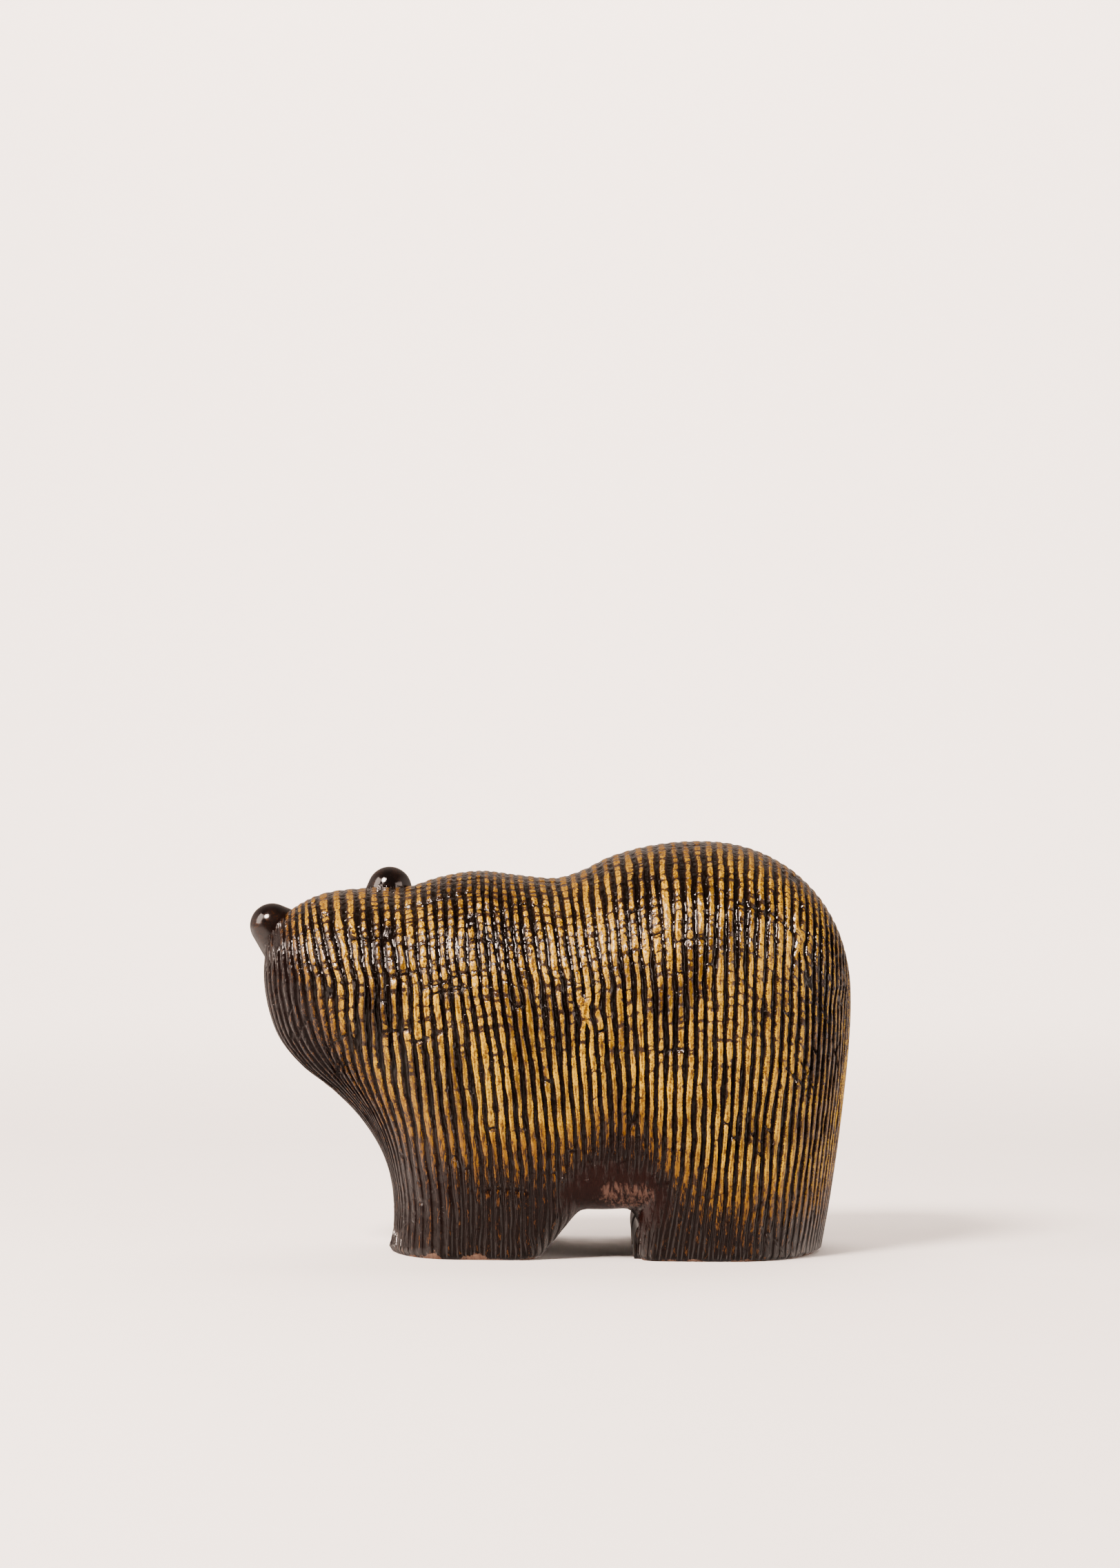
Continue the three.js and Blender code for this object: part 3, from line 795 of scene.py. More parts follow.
# %% Smooth shading
CREASE = math.radians(62)
NEEDLE, SLIVER = 1e-7, 5e-5
shell = bmesh.new()
shell.from_mesh(bear.data)
bmesh.ops.dissolve_degenerate(shell, edges=shell.edges, dist=NEEDLE)
slivers = [vert for vert in shell.verts if not all(edge.is_manifold for edge in vert.link_edges)]
bmesh.ops.remove_doubles(shell, verts=slivers, dist=SLIVER)
for face in shell.faces:
    face.smooth = True
for edge in shell.edges:
    edge.smooth = edge.calc_face_angle(0) < CREASE
open_edges = sum(not edge.is_manifold for edge in shell.edges)
shell.to_mesh(bear.data)
shell.free()
print("open edges:", open_edges, "triangles:", sum(len(f.vertices) - 2 for f in bear.data.polygons))

# %% [markdown]
# The glaze isn't the same all over. Honey glaze ends in a slanting line, the belly was wiped thin, the foot
# rims are worn, and in some zones the dark glaze ran over the ribs. The zone at the rump's rounded end is
# partly painted shade as well. These regions are worked out once for every point and stored on the mesh,
# which keeps the material small and lets them follow the form exactly. One more number says how close
# together the fine cuts lie.

# %% Regions of the glaze
RIM_HEIGHT = 1.7
NECK_X, NECK_Z, NECK_LENGTH, NECK_HEIGHT = -23, 100, 36, 28
WORN_HEIGHT, WORN_FROM, WORN_TO = 4.4, -42, -14
SCUFF_X, SCUFF_Z, SCUFF_LENGTH, SCUFF_HEIGHT = 21, 18.5, 14, 7
# place, half length and half height in mm, strength
DARK_ZONES = [
    (-67, 82, 12, 17, 0.6), (-49, 91, 7, 9, 1.0), (-47, 69, 9, 14, 0.9), (-37, 48, 9, 9, 0.6),
    (-12, 88, 12, 7, 0.8), (4, 68, 6, 12, 0.9), (26, 101, 7, 9, 0.8), (32, 62, 5, 13, 0.7),
    # the zone at the rump's rounded end (x 77) is partly painted shade there
    (50, 50, 7, 9, 0.8), (52, 92, 6, 9, 0.6), (77, 70, 9, 22, 0.9), (70, 38, 7, 9, 0.2),
]

skin_points = np.empty(len(bear.data.vertices) * 3)
bear.data.vertices.foreach_get("co", skin_points)
x, y, z = (skin_points.reshape(-1, 3) / MM - ORIGIN_SHIFT).T
inside_arch = 1 - smooth_step(-0.6, 0.4, arch_distance(x, z))
honey = honey_share(x, z) * (1 - inside_arch)
belly = np.hypot((x - BELLY_X) / BELLY_WIDTH, (z - BELLY_Z) / BELLY_HEIGHT)
wiped = (1 - smooth_step(0.4, 1.3, belly)) * (1 - inside_arch)
neck = np.clip(1 - np.hypot((x - NECK_X) / NECK_LENGTH, (z - NECK_Z) / NECK_HEIGHT), 0, 1)
keep_value(bear, "neck", np.maximum(smooth_step(0, 0.5, neck), 0.4 * smooth_step(38, 72, z)))
dark = np.zeros(len(x))
for middle, height, length, rise, strength in DARK_ZONES:
    away = np.hypot((x - middle) / length, (z - height) / rise)
    dark = np.maximum(dark, strength * (1 - smooth_step(0.3, 1.3, away)))
keep_value(bear, "dark", dark)
keep_value(bear, "honey", honey)
keep_value(bear, "wiped", wiped)
keep_value(bear, "arch", 1 - smooth_step(-1.5, 0.8, arch_distance(x, z)))
worn = smooth_step(WORN_FROM, WORN_FROM + 6, x) * (1 - smooth_step(WORN_TO - 6, WORN_TO, x))
keep_value(bear, "rim", 1 - smooth_step(0, RIM_HEIGHT + (WORN_HEIGHT - RIM_HEIGHT) * worn, z))
scuff = np.hypot((x - SCUFF_X) / SCUFF_LENGTH, (z - SCUFF_Z) / SCUFF_HEIGHT)
keep_value(bear, "scuff", (1 - smooth_step(0.4, 1.1, scuff)) * (y < 0))
print("share of the skin under honey glaze:", round(float(honey.mean()), 2))

# %% [markdown]
# Materials in Blender are graphs of nodes. Writing each node out takes many lines, so a few small helpers
# place a node, do arithmetic, fade between two values, shake a value with a noise and mix two colours.

# %% Node helpers
def add_node(tree, kind, inputs=(), **settings):
    """A shader node with its settings. Each input gets a value, or a link if it is given a socket."""
    made = tree.nodes.new("ShaderNode" + kind)
    for name, value in settings.items():
        setattr(made, name, value)
    for key, value in dict(inputs).items():
        if isinstance(value, bpy.types.NodeSocket):
            tree.links.new(value, made.inputs[key])
        else:
            made.inputs[key].default_value = value
    return made


def calc(tree, operation, *values):
    """Arithmetic on sockets and numbers."""
    return add_node(tree, "Math", enumerate(values), operation=operation).outputs[0]


def fade_between(tree, value, low, high, to_low=0.0, to_high=1.0):
    """A smooth rise from one number to another while the value goes from low to high."""
    inputs = enumerate((value, low, high, to_low, to_high))
    return add_node(tree, "MapRange", inputs, interpolation_type="SMOOTHSTEP").outputs[0]


def product(tree, first, *others):
    """All the values multiplied together."""
    for value in others:
        first = calc(tree, "MULTIPLY", first, value)
    return first


def inverse(tree, value):
    """1 where the value is 0, and 0 where it is 1."""
    return calc(tree, "SUBTRACT", 1.0, value)


def swing(tree, value, wave, amount):
    """The value, moved up and down by a wave that swings round 0.5."""
    return calc(tree, "MULTIPLY_ADD", calc(tree, "SUBTRACT", wave, 0.5), amount, value)


def mix_colors(tree, share, first, second):
    """The first colour where the share is 0 and the second where it is 1."""
    return add_node(tree, "Mix", {0: share, 6: first, 7: second}, data_type="RGBA").outputs[2]


def rgb(red, green, blue):
    return (red, green, blue, 1.0)


print("helpers ready")

# %% [markdown]
# Every pattern is measured in millimetres of the real object, so that a crack or a speck has its true size.
# Object coordinates are used for that, since they stay with the piece when it moves. Noise gives the soft
# patterns. Voronoi cells give the cracks, because the borders between cells are thin closed lines.

# %% Patterns in millimetres
def spot(tree, stretch=(1, 1, 1)):
    """The place on the object in mm, with each direction stretched by its own factor."""
    place = add_node(tree, "TexCoord").outputs["Object"]
    factors = [1000 / s for s in stretch]
    return add_node(tree, "VectorMath", {0: place, 1: factors}, operation="MULTIPLY").outputs[0]


def noise(tree, place, per_mm=1.0, detail=2.0, roughness=0.5):
    """Soft noise near 0.5, with this many waves in a millimetre."""
    inputs = {"Vector": place, "Scale": per_mm, "Detail": detail, "Roughness": roughness}
    return add_node(tree, "TexNoise", inputs).outputs["Fac"]


def effect_group(name, inputs, outputs):
    """A node group with named sockets. Gives the group, its input sockets and its output sockets."""
    group = bpy.data.node_groups.new(name, "ShaderNodeTree")
    for label, default in inputs.items():
        socket = group.interface.new_socket(label, in_out="INPUT", socket_type="NodeSocketFloat")
        socket.default_value = default
    for label, kind in outputs.items():
        group.interface.new_socket(label, in_out="OUTPUT", socket_type="NodeSocket" + kind)
    return group, group.nodes.new("NodeGroupInput").outputs, group.nodes.new("NodeGroupOutput").inputs


def use_group(tree, group, **values):
    """Places a group in a material. Underscores in a name stand for spaces."""
    inputs = {name.replace("_", " "): value for name, value in values.items()}
    return add_node(tree, "Group", inputs, node_tree=group).outputs


print("pattern helpers ready")

# %% [markdown]
# Wherever two glazes or a glaze and bare clay meet, the edge is ragged on a scale of a few tenths of a
# millimetre. One group does that for all materials: it shakes a value with fine noise and then cuts it.

# %% Ragged edge group
ragged_edge, given, sent = effect_group(
    "ragged_edge",
    {"Value": 0.5, "Edge": 0.5, "Softness": 0.06, "Wobble": 0.3, "Grain": 2.0, "Flatness": 1.0},
    {"Mask": "Float"})
flat = add_node(ragged_edge, "CombineXYZ", {0: 1.0, 1: 1.0, 2: given["Flatness"]}).outputs[0]
squeezed = add_node(ragged_edge, "VectorMath", {0: spot(ragged_edge), 1: flat}, operation="MULTIPLY")
coarse = noise(ragged_edge, squeezed.outputs[0], given["Grain"], 3.0, 0.65)
shaken = swing(ragged_edge, given["Value"], coarse, given["Wobble"])
low = calc(ragged_edge, "SUBTRACT", given["Edge"], given["Softness"])
high = calc(ragged_edge, "ADD", given["Edge"], given["Softness"])
ragged_edge.links.new(fade_between(ragged_edge, shaken, low, high), sent["Mask"])
print("group", ragged_edge.name, "has", len(ragged_edge.nodes), "nodes")

# %% [markdown]
# A glaze runs and settles in the kiln, so it is never equally thick. The next group gives slow patches, fine
# mottling, and streaks that hang down the side as the melt did.

# %% Glaze flow group
glaze_flow, given, sent = effect_group(
    "glaze_flow", {"Patch mm": 9.0, "Mottle mm": 0.8, "Streak mm": 1.1},
    {"Patches": "Float", "Mottle": "Float", "Streaks": "Float"})
for label, source, stretch in (("Patches", "Patch mm", (1, 1, 1.6)), ("Mottle", "Mottle mm", (1, 1, 1)),
                               ("Streaks", "Streak mm", (1, 1, 3.5))):
    per_mm = calc(glaze_flow, "DIVIDE", 1.0, given[source])
    glaze_flow.links.new(noise(glaze_flow, spot(glaze_flow, stretch), per_mm, 3.0, 0.6), sent[label])
print("group", glaze_flow.name, "has", len(glaze_flow.nodes), "nodes")

# %% [markdown]
# As it cools, the stiff honey glaze tears into fine cracks. They lie across the ribs, a millimetre or more
# apart, and only some of them open, so flat Voronoi cells are thinned out with a slow noise.

# %% Fine cracks group
fine_cracks, given, sent = effect_group(
    "fine_cracks", {"Length mm": 3.0, "Spacing mm": 1.5, "Width": 0.06, "Share": 0.5}, {"Cracks": "Float"})
bent = add_node(fine_cracks, "VectorMath", {
    0: spot(fine_cracks),
    1: add_node(fine_cracks, "TexNoise", {"Vector": spot(fine_cracks), "Scale": 1.3}).outputs["Color"],
}, operation="ADD").outputs[0]
cell_length, cell_height = given["Length mm"], given["Spacing mm"]
sizes = add_node(fine_cracks, "CombineXYZ", {0: cell_length, 1: cell_length, 2: cell_height})
cells = add_node(fine_cracks, "VectorMath", {0: bent, 1: sizes.outputs[0]}, operation="DIVIDE").outputs[0]
border = add_node(fine_cracks, "TexVoronoi", {"Vector": cells, "Scale": 1.0}, feature="DISTANCE_TO_EDGE")
cracked = fade_between(fine_cracks, border.outputs["Distance"], given["Width"], 0.0)
thinned = calc(fine_cracks, "ADD", noise(fine_cracks, spot(fine_cracks), 0.35), given["Share"])
opened = fade_between(fine_cracks, thinned, 0.95, 1.1)
fine_cracks.links.new(product(fine_cracks, cracked, opened), sent["Cracks"])
print("group", fine_cracks.name, "has", len(fine_cracks.nodes), "nodes")

# %% [markdown]
# Short cuts cross the ribs and part them into beads. They are too many and too thin for the mesh, so a node
# group draws them from two stored numbers: the rib's number and the way down it. A Voronoi pattern with one
# dimension gives places at random distances, and each rib reads its own stretch of it.

# %% Cross cuts group
cross_cuts, given, sent = effect_group(
    "cross_cuts", {"Rib": 0.0, "Down": 0.0, "Ribs in a row": 1.0, "Spacing mm": 3.4, "Half width mm": 0.2,
                   "Share": 0.5},
    {"Cuts": "Float", "Nearness": "Float"})
row_place = calc(cross_cuts, "DIVIDE", given["Rib"], given["Ribs in a row"])
rib_middle = calc(cross_cuts, "ROUND", row_place)
aside = calc(cross_cuts, "SUBTRACT", row_place, rib_middle)
luck = add_node(cross_cuts, "TexWhiteNoise", {"W": rib_middle}, noise_dimensions="1D").outputs["Value"]
tilt = calc(cross_cuts, "MULTIPLY", aside, calc(cross_cuts, "MULTIPLY_ADD", luck, 1.6, -0.8))
shake = calc(cross_cuts, "MULTIPLY_ADD", noise(cross_cuts, spot(cross_cuts), 0.9), 0.9, tilt)
run = calc(cross_cuts, "DIVIDE", calc(cross_cuts, "ADD", given["Down"], shake), given["Spacing mm"])
run = calc(cross_cuts, "ADD", run, calc(cross_cuts, "MULTIPLY", rib_middle, 37.71))
places = add_node(cross_cuts, "TexVoronoi", {"W": run, "Scale": 1.0, "Randomness": 0.8},
                  voronoi_dimensions="1D", feature="DISTANCE_TO_EDGE").outputs["Distance"]
away = calc(cross_cuts, "MULTIPLY", places, given["Spacing mm"])
thinned = calc(cross_cuts, "ADD", noise(cross_cuts, spot(cross_cuts), 0.3), given["Share"])
opened = fade_between(cross_cuts, thinned, 0.95, 1.08)
wide = calc(cross_cuts, "MULTIPLY", given["Half width mm"],
            fade_between(cross_cuts, noise(cross_cuts, spot(cross_cuts), 0.7), 0.35, 0.65, 0.6, 1.7))
outer, inner = calc(cross_cuts, "ADD", wide, 0.12), calc(cross_cuts, "SUBTRACT", wide, 0.08)
core, near = fade_between(cross_cuts, away, outer, inner), fade_between(cross_cuts, away, 1.0, 0.1)
cross_cuts.links.new(product(cross_cuts, core, opened), sent["Cuts"])
cross_cuts.links.new(product(cross_cuts, near, opened), sent["Nearness"])
print("group", cross_cuts.name, "has", len(cross_cuts.nodes), "nodes")

# %% [markdown]
# Where the glaze is worn off, and under the feet, the fired clay shows: pinkish cream with orange from the
# kiln, dusty and finely pitted. Its colour and its height come out of one group.

# %% Bare clay group
bare_clay, given, sent = effect_group(
    "bare_clay", {"Grain mm": 0.35}, {"Color": "Color", "Height": "Float"})
PINK_CLAY, ORANGE_CLAY, PIT_COLOR = rgb(0.21, 0.12, 0.08), rgb(0.15, 0.065, 0.032), rgb(0.04, 0.016, 0.01)
warm = fade_between(bare_clay, noise(bare_clay, spot(bare_clay), 0.25, 3.0), 0.4, 0.6)
per_mm = calc(bare_clay, "DIVIDE", 1.0, given["Grain mm"])
sand = noise(bare_clay, spot(bare_clay), per_mm, 3.0, 0.7)
clay_color = mix_colors(bare_clay, warm, ORANGE_CLAY, PINK_CLAY)
clay_color = mix_colors(bare_clay, fade_between(bare_clay, sand, 0.62, 0.72), clay_color, PIT_COLOR)
bare_clay.links.new(clay_color, sent["Color"])
bare_clay.links.new(sand, sent["Height"])
print("group", bare_clay.name, "has", len(bare_clay.nodes), "nodes")

# %% [markdown]
# The ribbed glaze reads the numbers stored on the points. Each material starts with its shader and output,
# and the slow patches, the mottling and the streaks of the glaze come from the group above. A dry-brushed
# noise, long across the side and short up and down, breaks the honey's lower edge.

# %% Ribbed glaze: what it reads
def new_material(name):
    """An empty material with its shader and output. Gives the material, its tree and the shader."""
    made = bpy.data.materials.new(name)
    made.use_nodes = True
    tree = made.node_tree
    tree.nodes.clear()
    shader = add_node(tree, "BsdfPrincipled")
    add_node(tree, "OutputMaterial", {"Surface": shader.outputs[0]})
    return made, tree, shader


def link_finish(tree, shader, color, roughness, strength, height):
    """Links a colour, a roughness and a relief in mm to the shader."""
    bumped = add_node(tree, "Bump", {"Strength": strength, "Distance": MM, "Height": height})
    for name, source in (("Base Color", color), ("Roughness", roughness), ("Normal", bumped.outputs[0])):
        tree.links.new(source, shader.inputs[name])


def stored(tree, name):
    """A number kept on the mesh's points."""
    return add_node(tree, "Attribute", attribute_name=name, attribute_type="GEOMETRY").outputs["Fac"]


rib_glaze, tree, rib_shader = new_material("rib_glaze")
flow = use_group(tree, glaze_flow, Patch_mm=14.0, Mottle_mm=0.55, Streak_mm=0.9)
patches, mottle, streaks = flow["Patches"], flow["Mottle"], flow["Streaks"]
brushed = noise(tree, spot(tree, (0.28, 0.28, 2.4)), 1.0, 2.0, 0.6)
flank_now, stroke_now, honey_now = (stored(tree, name) for name in ("flank", "stroke", "honey"))
neck_now, dark_now, wiped_now = (stored(tree, name) for name in ("neck", "dark", "wiped"))
print("nodes that read the mesh:", len(tree.nodes))

# %% [markdown]
# A bead is a piece of rib between two cuts. Its value is high on the crest and low in grooves and cuts, and a
# ragged edge through that value parts honey from dark glaze. Fine cuts cross single ribs, wider ones run
# over three ribs in a row, and both are thickest on the neck. In the dark zones the value is lowered, so the
# honey gets narrower there.

# %% Ribbed glaze: cuts and beads
rib_now, down_now = stored(tree, "rib"), stored(tree, "down")
crossing = use_group(tree, cross_cuts, Rib=rib_now, Down=down_now, Half_width_mm=0.16,
                     Share=calc(tree, "MULTIPLY_ADD", neck_now, 0.37, 0.39))
rows = use_group(tree, cross_cuts, Rib=rib_now, Down=down_now, Ribs_in_a_row=3.3, Spacing_mm=7.5,
                 Half_width_mm=0.42, Share=calc(tree, "MULTIPLY_ADD", neck_now, 0.32, 0.38))
nearness = calc(tree, "MAXIMUM", crossing["Nearness"], rows["Nearness"])
hollow = calc(tree, "MAXIMUM", product(tree, stroke_now, stroke_now, 0.9), product(tree, nearness, 0.36))
bead = swing(tree, product(tree, flank_now, inverse(tree, hollow)), patches, 0.7)
bead = calc(tree, "MULTIPLY_ADD", dark_now, -0.26, bead)
smeared = fade_between(tree, wiped_now, 0.0, 0.6, 0.0, 0.8)
bead = calc(tree, "ADD", product(tree, bead, inverse(tree, smeared)), product(tree, smeared, 0.62))
on_rib = use_group(tree, ragged_edge, Value=bead, Edge=0.57, Softness=0.06, Wobble=0.62, Grain=1.1,
                   Flatness=2.6)["Mask"]
print("nodes with cuts and beads:", len(tree.nodes))

# %% [markdown]
# Honey glaze stays where a bead is, clear of cuts, cracks and wiped places, and only above its own line. The
# single masks are multiplied, so any one of them can take the honey away. The streaks and the brushed noise
# break its lower edge into flecks.

# %% Ribbed glaze: where the honey lies
cracks = use_group(tree, fine_cracks, Length_mm=3.2, Spacing_mm=1.7, Width=0.07, Share=0.42)["Cracks"]
flecked = swing(tree, swing(tree, honey_now, streaks, 2.8), brushed, 2.2)
has_honey = fade_between(tree, flecked, 0.2, 0.66)
wiped_now = swing(tree, swing(tree, wiped_now, patches, 1.2), streaks, 2.0)
clear_of_cut = inverse(tree, calc(tree, "MAXIMUM", crossing["Cuts"], rows["Cuts"]))
clear_of_crack = calc(tree, "MULTIPLY_ADD", cracks, -0.7, 1.0)
clear_of_wipe = fade_between(tree, wiped_now, 0.75, 0.3)
honey_mask = product(tree, on_rib, clear_of_cut, clear_of_crack, has_honey, clear_of_wipe)
print("nodes with the honey's mask:", len(tree.nodes))

# %% [markdown]
# Honey glaze is pale where it thins out at the rib's flanks and amber along the crest. It is burnt in
# patches, and a painted shade darkens it where the surface turns towards the back, the top and the ends.
# That turn is read from the object's own normal, so it stays in place when the camera moves. Where the
# honey fades out above the legs, it goes through orange to brown.

# %% Ribbed glaze: honey colours
PALE_HONEY, HONEY = rgb(0.50, 0.295, 0.001), rgb(0.25, 0.142, 0.001)
AMBER, BURNT = rgb(0.105, 0.045, 0.001), rgb(0.022, 0.009, 0.002)
# colour of the painted shade on faces that turn away from the side
PAINTED_SHADE_HONEY = rgb(0.070, 0.029, 0.001)
THIN_HONEY, LAST_HONEY = rgb(0.12, 0.052, 0.001), rgb(0.055, 0.020, 0.002)

core = swing(tree, flank_now, swing(tree, streaks, mottle, 1.2), -1.7)
honey_color = mix_colors(tree, fade_between(tree, core, 0.6, 0.95), PALE_HONEY, HONEY)
honey_color = mix_colors(tree, fade_between(tree, core, 0.9, 1.15), honey_color, AMBER)
burnt_share = calc(tree, "MULTIPLY_ADD", mottle, 0.8, inverse(tree, patches))
burnt_share = calc(tree, "MULTIPLY_ADD", dark_now, 0.09, burnt_share)
honey_color = mix_colors(tree, fade_between(tree, burnt_share, 0.92, 1.1, 0.0, 0.85), honey_color, BURNT)
# painted shade: the honey darkens where the normal turns away from the side, to back, top and ends
outward = add_node(tree, "SeparateXYZ", {0: add_node(tree, "TexCoord").outputs["Normal"]}).outputs["Y"]
painted_turn_shade = fade_between(tree, calc(tree, "ABSOLUTE", outward), 0.78, 0.2, 0.0, 0.85)
honey_color = mix_colors(tree, painted_turn_shade, honey_color, PAINTED_SHADE_HONEY)
thinness = swing(tree, honey_now, brushed, 0.8)
honey_color = mix_colors(tree, fade_between(tree, thinness, 1.0, 0.6, 0.0, 0.9), honey_color, THIN_HONEY)
honey_color = mix_colors(tree, fade_between(tree, thinness, 0.65, 0.15), honey_color, LAST_HONEY)
print("nodes with the honey's colours:", len(tree.nodes))

# %% [markdown]
# Dark glaze is nearly black where it is deep and brown near the ribs, and purple-brown on throat and legs.
# The belly was wiped down to a red-brown skin with pale scuffs, which a slanting stretched noise draws.
# At the rims of the feet the clay shows through in places.

# %% Ribbed glaze: dark, wiped and worn colours
BROWN, BLACK = rgb(0.026, 0.0135, 0.007), rgb(0.0025, 0.0012, 0.0006)
PURPLE_BROWN, RED_BROWN = rgb(0.0042, 0.0019, 0.0016), rgb(0.0080, 0.0020, 0.0014)
SCUFF, RIM_CLAY_SHARE = rgb(0.10, 0.055, 0.040), 0.6

brown_share = fade_between(tree, swing(tree, bead, mottle, 0.8), 0.15, 0.55, 0.0, 0.95)
dark_color = mix_colors(tree, brown_share, BLACK, BROWN)
dark_color = mix_colors(tree, fade_between(tree, honey_now, 0.1, 0.8), PURPLE_BROWN, dark_color)
glaze_color = mix_colors(tree, honey_mask, dark_color, honey_color)
feather = add_node(tree, "VectorRotate", {"Vector": spot(tree, (1.0, 1.0, 4.0)), "Angle": 0.45},
                   rotation_type="Y_AXIS").outputs[0]
scuffs = calc(tree, "MULTIPLY_ADD", noise(tree, feather, 1.0, 4.0, 0.7), 1.7, stored(tree, "scuff"))
wiped_color = mix_colors(tree, fade_between(tree, honey_now, 0.3, 0.0), PURPLE_BROWN, RED_BROWN)
wiped_color = mix_colors(tree, fade_between(tree, scuffs, 1.70, 2.05, 0.0, 0.6), wiped_color, SCUFF)
wipe_share = product(tree, fade_between(tree, wiped_now, 0.35, 0.8), inverse(tree, honey_mask))
glaze_color = mix_colors(tree, wipe_share, glaze_color, wiped_color)
clay = use_group(tree, bare_clay, Grain_mm=0.35)
rim_now = swing(tree, stored(tree, "rim"), noise(tree, spot(tree), 0.16, 2.0), 2.2)
rim_mask = use_group(tree, ragged_edge, Value=rim_now, Edge=0.85, Softness=0.12, Wobble=1.0,
                     Grain=1.1)["Mask"]
rib_color = mix_colors(tree, product(tree, rim_mask, RIM_CLAY_SHARE), glaze_color, clay["Color"])
print("nodes with all colours:", len(tree.nodes))

# %% [markdown]
# The dark glaze is like glass, the honey is duller, and arch, belly and rims are duller still, so roughness
# follows the same masks. How strongly the glaze mirrors is one number, set on the shader's own socket.
# A bump adds what is too small for the mesh: the honey's thickness, the fine cuts and cracks, and a slow
# swell that breaks the lamps' reflections into glints.

# %% Ribbed glaze: gloss and relief
GLAZE_MIRROR = 0.34
rib_shader.inputs["Specular IOR Level"].default_value = GLAZE_MIRROR
gloss = fade_between(tree, honey_mask, 0.0, 1.0, 0.055, 0.24)
gloss = calc(tree, "MAXIMUM", gloss, fade_between(tree, honey_now, 0.35, 0.0, 0.05, 0.13))
gloss = calc(tree, "MAXIMUM", gloss, product(tree, stored(tree, "arch"), 0.6))
gloss = swing(tree, gloss, patches, 0.12)
gloss = calc(tree, "MAXIMUM", gloss, fade_between(tree, wiped_now, 0.3, 0.9, 0.0, 0.22))
gloss = calc(tree, "MAXIMUM", gloss, product(tree, rim_mask, 0.7))

rib_lift = product(tree, fade_between(tree, flank_now, 0.25, 0.62, 0.0, 0.22), inverse(tree, stroke_now))
cut_depth = product(tree, nearness, fade_between(tree, flank_now, 0.3, 0.7, 0.0, 0.14))
rib_lift = calc(tree, "SUBTRACT", rib_lift, cut_depth)
rib_lift = product(tree, rib_lift, fade_between(tree, wiped_now, 0.9, 0.3))
height = calc(tree, "MULTIPLY_ADD", mottle, 0.05, rib_lift)
swell = noise(tree, spot(tree, (2.0, 2.0, 3.4)), 1.0, 1.0)
height = calc(tree, "MULTIPLY_ADD", swell, fade_between(tree, honey_now, 0.0, 0.7, 0.3, 0.9), height)
height = calc(tree, "MULTIPLY_ADD", cracks, -0.05, height)
height = calc(tree, "MULTIPLY_ADD", product(tree, rim_mask, clay["Height"]), 0.08, height)
link_finish(tree, rib_shader, rib_color, gloss, 0.8, height)
print("nodes in the ribbed glaze:", len(tree.nodes))

# %% [markdown]
# The knobs were dipped in the dark glaze alone. On a smooth ball its flow shows as brown clouds and a few
# honey specks, and it is glossy enough to mirror the lamps. It uses the same groups as the ribs, with values
# of its own, so both glazes look like one firing.

# %% Knob glaze
knob_glaze, tree, knob_shader = new_material("knob_glaze")
flow = use_group(tree, glaze_flow, Patch_mm=3.5, Mottle_mm=0.5, Streak_mm=0.8)
cloud = fade_between(tree, flow["Patches"], 0.35, 0.7)
knob_color = mix_colors(tree, cloud, rgb(0.0022, 0.0014, 0.0013), rgb(0.0060, 0.0032, 0.0026))
speck = calc(tree, "MULTIPLY_ADD", flow["Mottle"], 0.6, product(tree, flow["Patches"], 0.5))
speck = use_group(tree, ragged_edge, Value=speck, Edge=0.68, Softness=0.05, Wobble=0.3, Grain=3.0)["Mask"]
knob_color = mix_colors(tree, product(tree, speck, 0.55), knob_color, rgb(0.05, 0.017, 0.002))
knob_gloss = fade_between(tree, flow["Patches"], 0.3, 0.8, 0.06, 0.16)
knob_height = product(tree, flow["Mottle"], 0.04)
link_finish(tree, knob_shader, knob_color, knob_gloss, 0.5, knob_height)
print("nodes in the knob glaze:", len(tree.nodes))

# %% [markdown]
# The soles were wiped clean before firing, or the bear would have stuck to the kiln shelf. So they show the
# bare clay, with drying cracks and a few smears of dark glaze.

# %% Bare soles
sole_clay, tree, sole_shader = new_material("sole_clay")
clay = use_group(tree, bare_clay, Grain_mm=0.5)
cracks = use_group(tree, fine_cracks, Length_mm=9.0, Spacing_mm=9.0, Width=0.02, Share=0.45)["Cracks"]
smear = use_group(tree, glaze_flow, Patch_mm=7.0, Mottle_mm=1.2, Streak_mm=1.5)["Patches"]
smear = use_group(tree, ragged_edge, Value=smear, Edge=0.62, Softness=0.04, Wobble=0.3, Grain=1.5)["Mask"]
sole_color = mix_colors(tree, product(tree, smear, 0.5), clay["Color"], rgb(0.03, 0.01, 0.005))
sole_color = mix_colors(tree, cracks, sole_color, rgb(0.015, 0.006, 0.004))
sole_gloss = fade_between(tree, smear, 0.0, 1.0, 0.8, 0.35)
sole_height = calc(tree, "MULTIPLY_ADD", cracks, -0.2, product(tree, clay["Height"], 0.12))
link_finish(tree, sole_shader, sole_color, sole_gloss, 0.7, sole_height)
print("nodes in the sole clay:", len(tree.nodes))

# %% [markdown]
# One mesh can carry several materials, since each face has a number that picks one from the object's list.
# Faces that look down at floor height get the bare clay, and faces whose points all came from a knob get the
# knob's glaze. The stored number survived the joining, so no face has to be picked by hand.

